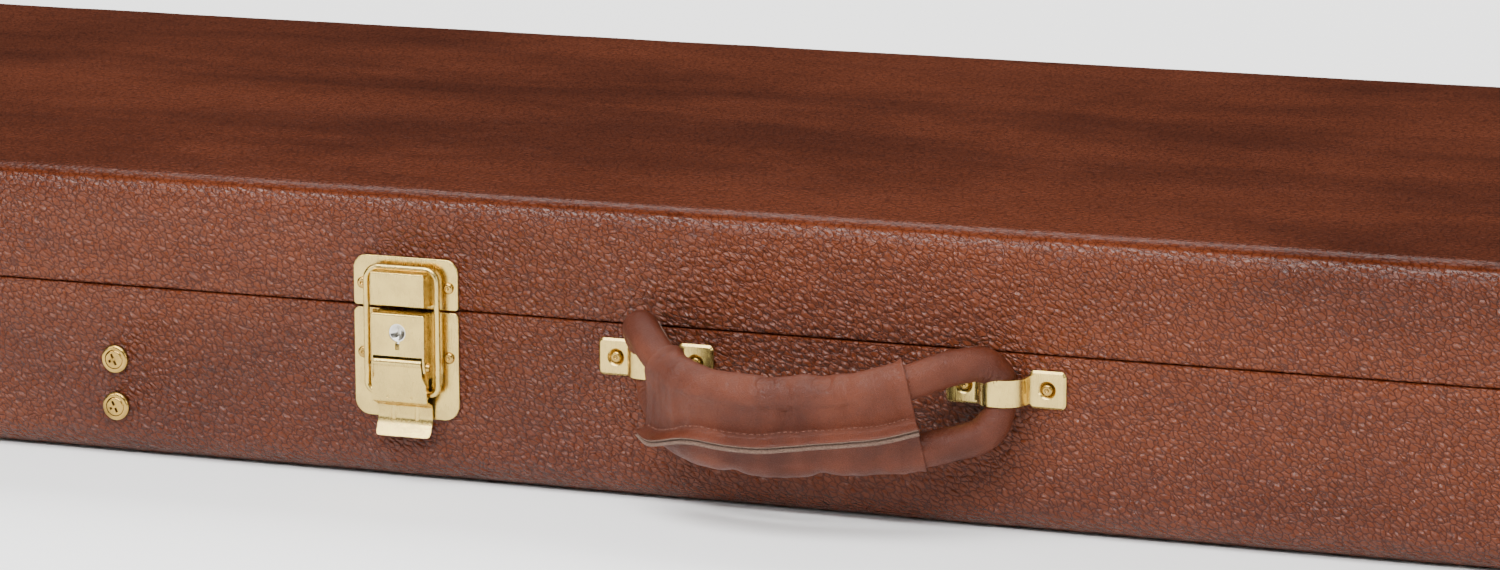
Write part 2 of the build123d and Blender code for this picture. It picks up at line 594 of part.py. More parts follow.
def save_bracket(side, x):
    """Bent strap that flares into two square bevelled feet, each with a countersunk rivet hole."""
    plan = Plane(origin=(x, -HALF_W, HANDLE_Z), x_dir=(1, 0, 0), z_dir=(0, 0, -1))
    foot_planes = [front_at(x + s * BRACKET_RIVET_X, HANDLE_Z) for s in SIDES]
    with BuildPart() as bracket:
        with BuildSketch(plan):
            with BuildLine():
                outer = FilletPolyline(
                    (-FLARE_END, STRAP_T), (-STRAP_HALF, STRAP_T), (-STRAP_HALF, STRAP_REACH),
                    (STRAP_HALF, STRAP_REACH), (STRAP_HALF, STRAP_T), (FLARE_END, STRAP_T),
                    radius=[2.4, 8.3, 8.3, 2.4],
                )
                offset(outer, amount=STRAP_T, side=Side.RIGHT)
            make_face()
        extrude(amount=FOOT_SIZE / 2, both=True)
        wide, narrow = FOOT_SIZE / 2 - FOOT_BEVEL, STRAP_HEIGHT / 2
        with BuildSketch(front_at(x, HANDLE_Z)) as outline:
            Polygon(
                (-FLARE_END, wide), (-STRAP_HALF, narrow), (STRAP_HALF, narrow), (FLARE_END, wide),
                (FLARE_END, -wide), (STRAP_HALF, -narrow), (-STRAP_HALF, -narrow), (-FLARE_END, -wide),
                align=None,
            )
            fillet([spot for spot in outline.vertices() if abs(spot.X) < FLARE_END - 0.1], 3.0)
        extrude(amount=20, mode=Mode.INTERSECT)
        with BuildSketch(*foot_planes):
            RectangleRounded(FOOT_SIZE, FOOT_SIZE, 2.0)
        extrude(amount=STRAP_T - FOOT_BEVEL)
        with BuildSketch(*[plane.offset(STRAP_T - FOOT_BEVEL) for plane in foot_planes]):
            RectangleRounded(FOOT_SIZE, FOOT_SIZE, 2.0)
        extrude(amount=FOOT_BEVEL, taper=45)
        with Locations(*[plane.offset(STRAP_T) for plane in foot_planes]):
            CounterSinkHole(RIVET_SHANK + FIT, HEAD_RECESS_R, depth=STRAP_T, counter_sink_angle=100)
    save(f"handle_bracket_{side}", bracket)


for bracket_side, bracket_x in bracket_centres.items():
    save_bracket(bracket_side, bracket_x)

ROPE_R = 6.5
LOOP_R = 4.9                # the rope is pulled thinner where it passes under a strap
STRAND_GAP = 13.0           # each strand's distance from the middle plane of the handle
PIVOT_REACH = 6.0           # the ring turns about a line through the straps, this far from the face
BOW_ANGLE = 42.0            # how far the strands turn away from the case by the time they reach a loop
DROOP = 18.5                # the handle hangs this far below level
SLEEVE_HALF_T = 8.2
SLEEVE_HALF_H = 20.6
SLEEVE_X = (-55.0, 43.0)    # the sleeve sits nearer the left bracket

bow = radians(BOW_ANGLE)
strand_end_x = BRACKET_REACH - STRAND_GAP * cos(bow)
strand_end_y = STRAND_GAP * sin(bow)
BOW_RADIUS = strand_end_x / sin(bow)
BOW_CENTRE = strand_end_y - BOW_RADIUS * cos(bow)   # outwards from the pivot line


def handle_plane():
    """Drooped middle plane of the handle: local x along +X, local y outwards, normal downwards."""
    level = Plane(origin=(HANDLE_X, -HALF_W - PIVOT_REACH, HANDLE_Z), x_dir=(1, 0, 0), z_dir=(0, 0, -1))
    return level.rotated((DROOP, 0, 0))


def bow_spot(angle):
    """Point of the bowed centre line in the handle plane, angle degrees right of its middle."""
    return BOW_RADIUS * sin(radians(angle)), BOW_CENTRE + BOW_RADIUS * cos(radians(angle))


def bow_section(angle):
    """Plane square across the bowed line: local x outwards along the bow, y along the handle's normal."""
    plane = handle_plane()
    spot = plane.from_local_coords(bow_spot(angle) + (0,))
    outwards = plane.from_local_coords((sin(radians(angle)), cos(radians(angle)), 0)) - plane.origin
    along = plane.from_local_coords((cos(radians(angle)), -sin(radians(angle)), 0)) - plane.origin
    return Plane(origin=spot, x_dir=outwards, z_dir=along)


def bow_axis():
    """Axis that the bowed strands curve around."""
    plane = handle_plane()
    return Axis(plane.from_local_coords((0, BOW_CENTRE, 0)), plane.z_dir)


def angle_at(x):
    """Angle of the bow at a distance x along the handle from its middle."""
    return degrees(atan2(x, (BOW_RADIUS**2 - x**2) ** 0.5))


sleeve_start = angle_at(SLEEVE_X[0])
sleeve_end = angle_at(SLEEVE_X[1])


with BuildPart() as grip_core:
    with BuildSketch(bow_section(sleeve_start)):
        with Locations((0, STRAND_GAP), (0, -STRAND_GAP)):
            Circle(ROPE_R)
    revolve(axis=bow_axis(), revolution_arc=sleeve_start - sleeve_end)
save("grip_core", grip_core)

with BuildPart() as grip_sleeve:
    with BuildSketch(bow_section(sleeve_start)):
        RectangleRounded(2 * SLEEVE_HALF_T, 2 * SLEEVE_HALF_H, SLEEVE_HALF_T - 0.4)
        with Locations((0, STRAND_GAP), (0, -STRAND_GAP)):
            Circle(ROPE_R, mode=Mode.SUBTRACT)
    revolve(axis=bow_axis(), revolution_arc=sleeve_start - sleeve_end)
save("grip_sleeve", grip_sleeve)


def save_loop(name, side, stub_angle):
    """The end of the ring: two short strands, then a half turn that passes upright behind the strap."""
    end_angle = side * BOW_ANGLE
    section = bow_section(end_angle)
    with BuildPart() as loop:
        with BuildSketch(section):
            with Locations((0, STRAND_GAP)):
                Circle(LOOP_R)
        revolve(axis=Axis(section.origin, section.x_dir), revolution_arc=side * 180)
        with BuildSketch(bow_section(end_angle)):
            with Locations((0, STRAND_GAP), (0, -STRAND_GAP)):
                Circle(ROPE_R)
        revolve(axis=bow_axis(), revolution_arc=end_angle - stub_angle)
        strap_x = HANDLE_X + side * BRACKET_REACH
        with BuildSketch(front_at(strap_x, HANDLE_Z)):
            Rectangle(2 * ROPE_R + 8, STRAP_HEIGHT + 6)
        extrude(amount=STRAP_REACH + 2, mode=Mode.SUBTRACT)
        with BuildSketch(Plane.XY.offset(HANDLE_Z - STRAP_HEIGHT / 2 - 3)):
            with Locations((strap_x, -HALF_W - PIVOT_REACH)):
                Circle(LOOP_R)
        extrude(amount=STRAP_HEIGHT + 6)
    save(name, loop)


save_loop("handle_loop_left", -1, sleeve_start)
save_loop("handle_loop_right", 1, sleeve_end)

# ---- butt hinges on the back ----
LEAF_HALF = 19.0
LEAF_HEIGHT = 22.0
LEAF_T = 1.0
KNUCKLE_R = 2.5
HINGE_REACH = 2.8           # pin line, outwards from the back face
KNUCKLES = 5
KNUCKLE_STEP = 2 * LEAF_HALF / KNUCKLES
KNUCKLE_GAP = 0.1
NOTCH_CLEAR = 3.1


def save_hinge_leaf(name, x, up, first):
    """One leaf, up = 1 on the lid or -1 on the base; it owns every second knuckle from the first."""
    with BuildPart() as leaf:
        leaf_z = sorted((PART_Z + up * 0.1, PART_Z + up * LEAF_HEIGHT))
        block((x - LEAF_HALF, x + LEAF_HALF), (HALF_W, HALF_W + LEAF_T), leaf_z)
        corners = leaf.edges().filter_by(Axis.Y).group_by(Axis.Z)
        fillet(corners[-1] if up > 0 else corners[0], 2.5)
        for index in range(KNUCKLES):
            knuckle_x = x - LEAF_HALF + (index + 0.5) * KNUCKLE_STEP
            span = (knuckle_x - KNUCKLE_STEP / 2, knuckle_x + KNUCKLE_STEP / 2)
            notch_z = sorted((PART_Z, PART_Z + up * NOTCH_CLEAR))
            if index % 2 == first:
                with BuildSketch(Plane.YZ.offset(span[0] + KNUCKLE_GAP)):
                    with Locations((HALF_W + HINGE_REACH, PART_Z)):
                        Circle(KNUCKLE_R)
                extrude(amount=KNUCKLE_STEP - 2 * KNUCKLE_GAP)
            else:
                block(span, (HALF_W - 1, HALF_W + LEAF_T + 1), notch_z, mode=Mode.SUBTRACT)
        with BuildSketch(Plane.YZ.offset(x)):
            with Locations((HALF_W + HINGE_REACH, PART_Z)):
                Circle(PIN_R + FIT)
        extrude(amount=LEAF_HALF + 1, both=True, mode=Mode.SUBTRACT)
        add(lid_drill if up > 0 else base_drill, mode=Mode.SUBTRACT)
    save(name, leaf)


for hinge_side, hinge_x in HINGE_XS.items():
    save_hinge_leaf(f"hinge_{hinge_side}_base_leaf", hinge_x, -1, 0)
    save_hinge_leaf(f"hinge_{hinge_side}_lid_leaf", hinge_x, 1, 1)

with BuildPart() as hinge_pins:
    for hinge_x in HINGE_XS.values():
        with BuildSketch(Plane.YZ.offset(hinge_x)):
            with Locations((HALF_W + HINGE_REACH, PART_Z)):
                Circle(PIN_R)
        extrude(amount=LEAF_HALF + 0.4, both=True)
save("hinge_pins", hinge_pins)

# ---- rivets, one group for each half of the case ----
recessed_rivet = rivet(HEAD_RECESS_R - 1.2, 1.0, RIVET_SHANK, RIVET_BITE - 0.2, 0.9)
with BuildPart() as base_rivets:
    with Locations(*[plane.offset(PLATE_T) for plane in plate_rivet_planes + base_hinge_planes]):
        add(fitting_rivet)
    with Locations(*[plane.offset(STRAP_T - 0.6) for plane in bracket_rivet_planes]):
        add(recessed_rivet)
save("base_rivets", base_rivets)

with BuildPart() as lid_rivets:
    with Locations(*[plane.offset(PLATE_T) for plane in catch_rivet_planes + lid_hinge_planes]):
        add(fitting_rivet)
save("lid_rivets", lid_rivets)

# ---- domed feet on the hinge side, for standing the case on its back edge ----
FOOT_R = 9.0
FOOT_H = 7.5
BASE_FOOT_Z = 32.0
LID_FOOT_Z = 83.0
for half, foot_z in (("base", BASE_FOOT_Z), ("lid", LID_FOOT_Z)):
    with BuildPart() as feet:
        with Locations(*[back_at(x, foot_z) for x in FOOT_XS]):
            Cylinder(FOOT_R, FOOT_H, align=STAND)
        fillet(feet.faces().filter_by(Axis.Y).sort_by(Axis.Y)[-2:].edges(), 3.5)
    save(f"{half}_feet", feet)
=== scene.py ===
import json
import math

import bmesh
import bpy
from mathutils import Matrix, Vector, noise


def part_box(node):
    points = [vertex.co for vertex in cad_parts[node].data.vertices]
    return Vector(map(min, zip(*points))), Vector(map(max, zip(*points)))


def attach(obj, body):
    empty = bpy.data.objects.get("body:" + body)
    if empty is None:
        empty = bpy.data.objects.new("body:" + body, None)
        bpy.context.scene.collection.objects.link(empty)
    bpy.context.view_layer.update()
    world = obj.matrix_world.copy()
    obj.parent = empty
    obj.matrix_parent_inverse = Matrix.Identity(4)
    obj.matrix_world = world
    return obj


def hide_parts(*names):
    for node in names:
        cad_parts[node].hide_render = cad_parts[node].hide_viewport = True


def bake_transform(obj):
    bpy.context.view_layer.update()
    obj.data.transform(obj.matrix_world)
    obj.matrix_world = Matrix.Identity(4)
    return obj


# A covered guitar case lying flat: +X along its length, the handle side faces -Y, +Z up. Metres.
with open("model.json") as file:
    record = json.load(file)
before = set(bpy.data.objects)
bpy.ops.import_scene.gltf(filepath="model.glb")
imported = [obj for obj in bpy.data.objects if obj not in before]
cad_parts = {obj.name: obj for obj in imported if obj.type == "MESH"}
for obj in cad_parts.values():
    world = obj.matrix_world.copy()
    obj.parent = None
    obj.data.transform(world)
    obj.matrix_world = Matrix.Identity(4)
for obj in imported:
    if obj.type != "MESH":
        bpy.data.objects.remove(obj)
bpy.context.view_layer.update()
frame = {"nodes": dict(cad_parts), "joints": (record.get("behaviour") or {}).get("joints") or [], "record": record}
nodes = frame["nodes"]
joint_at = {joint["name"]: Vector(joint["pos_m"]) for joint in frame["joints"]}
MM = 0.001

# ---- sizes worked out from the frame ----
HALF_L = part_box("base_covering")[1].x
HALF_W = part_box("base_covering")[1].y
PART_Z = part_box("lid_covering")[0].z
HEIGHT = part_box("lid_covering")[1].z
EDGE_R = 12 * MM                # long top and bottom edges
CORNER_R = 20 * MM              # upright corners
RIM_R = 1.2 * MM                # covering turned over the rim
RIM_GAP = 0.12 * MM             # each half stops this far from the parting line
RIM_DEPTH = 9 * MM              # how far the covering is turned in over the rim
COVERING_T = 0.75 * MM
COVERING_SINK = 0.2 * MM        # keeps the uneven skin inside its CAD solid
HANDLE = joint_at["handle_swing"]


# ---- mesh helpers ----
def finished(obj, body, slot, mat, *replaced):
    """Give a piece its material, hide the CAD nodes it stands for and hang it on its body, if it has one. The slot
    is not used.
    """
    if not obj.data.materials:
        obj.data.materials.append(mat)
    if replaced:
        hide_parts(*replaced)
    if body:
        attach(obj, body)


def new_piece(name, points, faces, smooth=True):
    """Mesh object from points and faces, its normals made to face outwards."""
    mesh = bpy.data.meshes.new(name)
    mesh.from_pydata([tuple(point) for point in points], [], faces)
    obj = bpy.data.objects.new(name, mesh)
    bpy.context.scene.collection.objects.link(obj)
    tidy = bmesh.new()
    tidy.from_mesh(mesh)
    bmesh.ops.remove_doubles(tidy, verts=tidy.verts, dist=1e-7)
    bmesh.ops.recalc_face_normals(tidy, faces=tidy.faces)
    tidy.to_mesh(mesh)
    tidy.free()
    mesh.polygons.foreach_set("use_smooth", [smooth] * len(mesh.polygons))
    return obj


def apply_modifiers(obj):
    """Turn what the modifiers make into the piece's own mesh."""
    evaluated = obj.evaluated_get(bpy.context.evaluated_depsgraph_get())
    result = bpy.data.meshes.new_from_object(evaluated)
    obj.modifiers.clear()
    obj.data = result


def smoothstep(low, high, value):
    """0 below low, 1 above high, and a smooth rise between them."""
    share = min(1.0, max(0.0, (value - low) / (high - low)))
    return share * share * (3 - 2 * share)


def curve_point(points, place):
    """Point of the smooth curve through the points, where place 0 is the first and 1 the second."""
    index = min(int(place), len(points) - 2)
    share = place - index
    before = points[max(index - 1, 0)]
    start = points[index]
    end = points[index + 1]
    after = points[min(index + 2, len(points) - 1)]
    return 0.5 * (
        2 * start
        + (end - before) * share
        + (2 * before - 5 * start + 4 * end - after) * share**2
        + (3 * start - before - 3 * end + after) * share**3
    )


def sheet_solid(name, rows, thickness, edge_slot=0):
    """Solid sheet: the rows of points are its outer side, and the inner side lies one thickness below.
    Its long edges and its inner side take the material in edge_slot."""
    count, width = len(rows), len(rows[0])
    inner = []
    for i, row in enumerate(rows):
        inner_row = []
        for j, point in enumerate(row):
            along = rows[min(i + 1, count - 1)][j] - rows[max(i - 1, 0)][j]
            across = row[min(j + 1, width - 1)] - row[max(j - 1, 0)]
            inner_row.append(point - along.cross(across).normalized() * thickness)
        inner.append(inner_row)
    points = [point for row in rows + inner for point in row]
    below = count * width
    faces = []
    edge_faces = []
    for i in range(count - 1):
        for j in range(width - 1):
            near, far = i * width + j, (i + 1) * width + j
            quad = (near, near + 1, far + 1, far)
            faces.append(quad)
            edge_faces.append(tuple(below + corner for corner in reversed(quad)))
    for j in range(width - 1):
        for start in (j, (count - 1) * width + j):
            faces.append((start, start + 1, below + start + 1, below + start))
    for i in range(count - 1):
        for j in (0, width - 1):
            near, far = i * width + j, (i + 1) * width + j
            edge_faces.append((near, far, below + far, below + near))
    obj = new_piece(name, points, faces + edge_faces)
    for polygon in obj.data.polygons[len(faces):]:
        polygon.material_index = edge_slot
    return obj


def tube(name, spots, radius_at, sides, ripple=None):
    """Closed tube along the spots; ripple(index, normal, bend) moves its surface in or out."""
    count = len(spots)
    points = []
    up = Vector((0, 0, 1))
    for i, spot in enumerate(spots):
        before, after = spots[max(i - 1, 0)], spots[min(i + 1, count - 1)]
        tangent = (after - before).normalized()
        up = (up - tangent * up.dot(tangent)).normalized()
        side = tangent.cross(up)
        gap = max((after - before).length / 2, 1e-6)
        bend = (after + before - 2 * spot) / gap**2
        for j in range(sides):
            angle = 2 * math.pi * j / sides
            normal = up * math.cos(angle) + side * math.sin(angle)
            reach = radius_at(i) + (ripple(i, normal, bend) if ripple else 0)
            points.append(spot + normal * reach)
    faces = []
    for i in range(count - 1):
        for j in range(sides):
            k = (j + 1) % sides
            faces.append((i * sides + j, i * sides + k, (i + 1) * sides + k, (i + 1) * sides + j))
    faces.append(tuple(range(sides)))
    faces.append(tuple((count - 1) * sides + j for j in reversed(range(sides))))
    return new_piece(name, points, faces)


# ---- camera, light and floor ----
CAMERA_YAW = math.radians(20.17)        # the camera stands to the right of the handle
CAMERA_RISE = math.radians(11.55)
CAMERA_ROLL = math.radians(-0.075)
CAMERA_DISTANCE = 1.882
CAMERA_AIM = Vector((HANDLE.x - 30.1 * MM, -HALF_W, 83.2 * MM))
FLOOR_HALF = 6.0
FLOOR_DROP = 0.3 * MM           # keeps the floor clear of the case's bottom sheet


def make_camera():
    """Long lens, low over the handle side."""
    ahead = Vector((
        -math.sin(CAMERA_YAW) * math.cos(CAMERA_RISE),
        math.cos(CAMERA_YAW) * math.cos(CAMERA_RISE),
        -math.sin(CAMERA_RISE),
    ))
    level = Vector((math.cos(CAMERA_YAW), math.sin(CAMERA_YAW), 0))
    upright = level.cross(ahead)
    right = level * math.cos(CAMERA_ROLL) + upright * math.sin(CAMERA_ROLL)
    up = right.cross(ahead)
    data = bpy.data.cameras.new("camera")
    data.lens = 126.5
    camera = bpy.data.objects.new("camera", data)
    bpy.context.scene.collection.objects.link(camera)
    turn = Matrix((right, up, -ahead)).transposed().to_4x4()
    camera.matrix_world = Matrix.Translation(CAMERA_AIM - ahead * CAMERA_DISTANCE) @ turn
    bpy.context.scene.camera = camera


def softbox(name, place, target, size, power):
    """Rectangular area light aimed at a point."""
    data = bpy.data.lights.new(name, "AREA")
    data.shape = "RECTANGLE"
    data.size, data.size_y = size
    data.energy = power
    light = bpy.data.objects.new(name, data)
    bpy.context.scene.collection.objects.link(light)
    light.location = place
    light.rotation_euler = (Vector(target) - Vector(place)).to_track_quat("-Z", "Y").to_euler()


def make_studio():
    """Room that is bright overhead and dim at the horizon, an overhead softbox and one from each side."""
    world = bpy.data.worlds.new("studio")
    bpy.context.scene.world = world
    world.use_nodes = True
    tree = world.node_tree
    background = tree.nodes["Background"]
    direction = make(tree, "ShaderNodeTexCoord").outputs["Generated"]
    height = make(tree, "ShaderNodeSeparateXYZ", {0: direction}).outputs[2]
    sky = mixed(tree, remap(tree, height, 0.05, 0.85), (0.05, 0.048, 0.045), (1.0, 0.99, 0.97))
    tree.links.new(sky, background.inputs["Color"])
    background.inputs["Strength"].default_value = 0.6
    softbox("overhead", (-0.1, -0.9, 1.6), (0.05, -0.15, 0.05), (1.8, 0.7), 40)
    softbox("rear", (0.0, 1.9, 2.2), (0.0, 1.5, 0.0), (3.6, 1.8), 150)
    softbox("front_high", (-0.3, -2.3, 1.9), (0.0, -0.2, 0.05), (1.8, 0.3), 70)
    softbox("front_left", (-1.6, -1.9, 0.9), (-0.1, -0.2, 0.05), (0.5, 0.9), 16)
    softbox("front_right", (1.9, -1.5, 0.8), (0.3, -0.2, 0.05), (0.5, 0.7), 12)


def make_floor():
    """Plain pale floor just under the case."""
    bm = bmesh.new()
    bmesh.ops.create_grid(bm, x_segments=8, y_segments=8, size=FLOOR_HALF)
    mesh = bpy.data.meshes.new("floor")
    bm.to_mesh(mesh)
    bm.free()
    floor = bpy.data.objects.new("floor", mesh)
    bpy.context.scene.collection.objects.link(floor)
    floor.location.z = -FLOOR_DROP
    floor.data.materials.append(new_material("floor_paint", (0.96, 0.96, 0.955), 0.9)[0])


# ---- materials ----
def new_material(name, colour, roughness, metallic=0.0):
    """Principled material and the parts of it that the other functions build on."""
    mat = bpy.data.materials.new(name)
    mat.use_nodes = True
    shader = mat.node_tree.nodes["Principled BSDF"]
    shader.inputs["Base Color"].default_value = (*colour, 1)
    shader.inputs["Roughness"].default_value = roughness
    shader.inputs["Metallic"].default_value = metallic
    return mat, mat.node_tree, shader


def make(tree, kind, inputs=None, **settings):
    """Add a node; an input is either a value or another node's output."""
    made = tree.nodes.new(kind)
    for key, value in settings.items():
        setattr(made, key, value)
    for key, value in (inputs or {}).items():
        if isinstance(value, bpy.types.NodeSocket):
            tree.links.new(value, made.inputs[key])
        else:
            made.inputs[key].default_value = value
    return made


def object_place(tree, stretch=(1, 1, 1), turn=(0, 0, 0)):
    """Place on the piece in metres, stretched and turned for a grain that runs one way."""
    coordinates = make(tree, "ShaderNodeTexCoord")
    angles = tuple(math.radians(angle) for angle in turn)
    mapping = make(tree, "ShaderNodeMapping", {"Vector": coordinates.outputs["Object"], "Rotation": angles})
    return make(tree, "ShaderNodeMapping", {"Vector": mapping.outputs[0], "Scale": stretch}).outputs[0]


def noise_at(tree, place, scale, detail=2.0, roughness=0.5, distortion=0.0):
    """Noise value of that many cells to the metre."""
    inputs = {"Vector": place, "Scale": scale, "Detail": detail}
    inputs.update({"Roughness": roughness, "Distortion": distortion})
    return make(tree, "ShaderNodeTexNoise", inputs).outputs[0]


def remap(tree, value, low, high, to_low=0.0, to_high=1.0):
    """Smooth change of a value's range, held at both ends."""
    inputs = {0: value, 1: low, 2: high, 3: to_low, 4: to_high}
    return make(tree, "ShaderNodeMapRange", inputs, interpolation_type="SMOOTHSTEP").outputs[0]


def sum_of(tree, *parts):
    """Weighted sum of values, each part a (value, weight) pair."""
    total = None
    for value, weight in parts:
        term = make(tree, "ShaderNodeMath", {0: value, 1: weight}, operation="MULTIPLY").outputs[0]
        if total is None:
            total = term
        else:
            total = make(tree, "ShaderNodeMath", {0: total, 1: term}, operation="ADD").outputs[0]
    return total


def mixed(tree, share, first, second, blend="MIX"):
    """Colour between two others, each a colour or an output."""
    inputs = {0: share}
    for key, colour in ((6, first), (7, second)):
        inputs[key] = colour if isinstance(colour, bpy.types.NodeSocket) else (*colour, 1)
    return make(tree, "ShaderNodeMix", inputs, data_type="RGBA", blend_type=blend).outputs[2]


def bumped(tree, shader, height, depth, strength=1.0):
    """Raise the surface by a height of 0 to 1 times depth."""
    bump = make(tree, "ShaderNodeBump", {"Height": height, "Distance": depth, "Strength": strength})
    tree.links.new(bump.outputs[0], shader.inputs["Normal"])


def warped(tree, place, scale, amount):
    """Place pushed about by a noise, so that cells aren't regular."""
    push = make(tree, "ShaderNodeTexNoise", {"Vector": place, "Scale": scale, "Detail": 2.0}).outputs[1]
    kind = "ShaderNodeVectorMath"
    centred = make(tree, kind, {0: push, 1: (0.5, 0.5, 0.5)}, operation="SUBTRACT").outputs[0]
    scaled = make(tree, kind, {0: centred, "Scale": amount}, operation="SCALE").outputs[0]
    return make(tree, kind, {0: place, 1: scaled}, operation="ADD").outputs[0]


def cells(tree, place, scale, feature="DISTANCE_TO_EDGE"):
    """Distance from the borders of irregular cells."""
    inputs = {"Vector": place, "Scale": scale, "Randomness": 1.0}
    return make(tree, "ShaderNodeTexVoronoi", inputs, feature=feature).outputs["Distance"]


def upward(tree):
    """1 on faces that look straight up, 0 on the sides."""
    normal = make(tree, "ShaderNodeTexCoord").outputs["Normal"]
    return remap(tree, make(tree, "ShaderNodeSeparateXYZ", {0: normal}).outputs[2], 0.62, 0.985)


def leathercloth():
    """Pebble-grained brown leathercloth: leaning pebbles, painted shade in the creases, cloudy streaks of tone,
    and a darker painted shade over the top.
    """
    mat, tree, shader = new_material("leathercloth", (0.2, 0.06, 0.03), 0.4)
    top = upward(tree)
    leaning = object_place(tree, (0.62, 0.95, 1.1), (0, -30, 0))
    wandering = warped(tree, leaning, 380, 2.2 * MM)
    domes = remap(tree, cells(tree, wandering, 530, "SMOOTH_F1"), 0.62, 0.08)
    creases = remap(tree, cells(tree, wandering, 530), 0.0, 0.13)
    fine = noise_at(tree, wandering, 1500, 3, 0.6)
    place = object_place(tree)
    lumps = noise_at(tree, place, 110, 3)
    height = sum_of(tree, (domes, 0.6), (fine, 0.16), (lumps, 0.3), (creases, 0.2))
    bumped(tree, shader, height, 1.35 * MM, remap(tree, top, 0.0, 0.6, 1.0, 0.15))
    streaks = noise_at(tree, object_place(tree, (2.2, 7.5, 7.5)), 1.6, 6, 0.62, 0.6)
    patches = noise_at(tree, place, 8, 4, 0.6)
    cloud = remap(tree, sum_of(tree, (streaks, 0.6), (patches, 0.4)), 0.36, 0.64)
    sides = mixed(tree, cloud, (0.076, 0.0157, 0.0050), (0.128, 0.0302, 0.0106))
    # Painted shade: faces that look up take a darker copy of the same colour.
    painted_top_shade = mixed(tree, cloud, (0.042, 0.0092, 0.0036), (0.080, 0.0192, 0.0078))
    # Painted shade in the creases between the pebbles.
    painted_crease_shade = mixed(tree, creases, (0.44, 0.37, 0.34), (1, 1, 1))
    colour = mixed(tree, 1.0, mixed(tree, top, sides, painted_top_shade), painted_crease_shade, "MULTIPLY")
    tree.links.new(colour, shader.inputs["Base Color"])
    gloss = sum_of(tree, (lumps, 0.5), (patches, 0.5))
    tree.links.new(remap(tree, gloss, 0.3, 0.7, 0.13, 0.22), shader.inputs["Roughness"])
    tree.links.new(remap(tree, top, 0.0, 0.6, 0.23, 0.02), shader.inputs["Specular IOR Level"])
    return mat


def smooth_leather():
    """Soft brown leather with a fine pore grain and a satin sheen."""
    mat, tree, shader = new_material("handle_leather", (0.2, 0.055, 0.028), 0.42)
    place = warped(tree, object_place(tree), 600, 0.6 * MM)
    pores = remap(tree, cells(tree, place, 1700), 0.0, 0.32)
    soft = noise_at(tree, place, 190, 4, 0.6)
    broad = noise_at(tree, place, 34, 4, 0.6)
    bumped(tree, shader, sum_of(tree, (pores, 0.3), (soft, 0.7)), 0.34 * MM)
    body = mixed(tree, remap(tree, broad, 0.35, 0.68), (0.070, 0.0150, 0.0058), (0.124, 0.0300, 0.0120))
    # Painted shade in the pores, where the bump sets the surface low.
    painted_pore_shade = mixed(tree, remap(tree, pores, 0.0, 0.5), (0.72, 0.66, 0.64), (1, 1, 1))
    tree.links.new(mixed(tree, 1.0, body, painted_pore_shade, "MULTIPLY"), shader.inputs["Base Color"])
    tree.links.new(remap(tree, soft, 0.3, 0.7, 0.34, 0.50), shader.inputs["Roughness"])
    shader.inputs["Specular IOR Level"].default_value = 0.25
    return mat


def raw_hide():
    """Cut edge and flesh side of the leather: pale and fibrous."""
    mat, tree, shader = new_material("raw_hide", (0.42, 0.32, 0.27), 0.95)
    place = object_place(tree, (1.0, 1.0, 2.2))
    fibres = noise_at(tree, place, 1500, 5, 0.7)
    bumped(tree, shader, fibres, 0.2 * MM)
    tone = mixed(tree, remap(tree, fibres, 0.3, 0.7), (0.060, 0.030, 0.020), (0.20, 0.125, 0.092))
    tree.links.new(tone, shader.inputs["Base Color"])
    return mat


def thread():
    """Twisted brown sewing thread."""
    mat, tree, shader = new_material("thread", (0.13, 0.045, 0.026), 0.6)
    wave = make(tree, "ShaderNodeTexWave", {"Vector": object_place(tree, turn=(0, 40, 0)), "Scale": 420.0})
    bumped(tree, shader, wave.outputs[1], 0.12 * MM)
    # Painted shade in the grooves of the twist, lighter on its ridges.
    tone = mixed(tree, wave.outputs[1], (0.09, 0.028, 0.016), (0.2, 0.075, 0.045))
    tree.links.new(tone, shader.inputs["Base Color"])
    return mat


def plywood():
    """Birch plywood: long grain lines with small darker flecks."""
    mat, tree, shader = new_material("plywood", (0.6, 0.43, 0.25), 0.6)
    long_grain = noise_at(tree, object_place(tree, (0.06, 1, 1)), 420, 5, 0.6)
    bands = noise_at(tree, object_place(tree, (0.1, 1, 1)), 60, 3)
    tone = mixed(tree, remap(tree, long_grain, 0.3, 0.7), (0.42, 0.26, 0.13), (0.68, 0.5, 0.31))
    shade = mixed(tree, remap(tree, bands, 0.3, 0.7), (0.8, 0.76, 0.72), (1, 1, 1))
    tree.links.new(mixed(tree, 1.0, tone, shade, "MULTIPLY"), shader.inputs["Base Color"])
    bumped(tree, shader, long_grain, 0.12 * MM)
    return mat


def brass(name, colour, dull, roughness, scratch):
    """Plated brass: faint patches of tone, fine brushing and a little uneven gloss."""
    mat, tree, shader = new_material(name, colour, roughness, 1.0)
    place = object_place(tree)
    patches = noise_at(tree, place, 130, 4, 0.6)
    brushing = noise_at(tree, object_place(tree, (1, 1, 0.05)), 4200, 3)
    tree.links.new(mixed(tree, remap(tree, patches, 0.35, 0.7), colour, dull), shader.inputs["Base Color"])
    gloss = sum_of(tree, (patches, 0.5), (brushing, 0.5))
    finish = remap(tree, gloss, 0.3, 0.7, roughness - 0.06, roughness + 0.08)
    tree.links.new(finish, shader.inputs["Roughness"])
    bumped(tree, shader, sum_of(tree, (brushing, 0.5), (patches, 0.5)), scratch)
    return mat


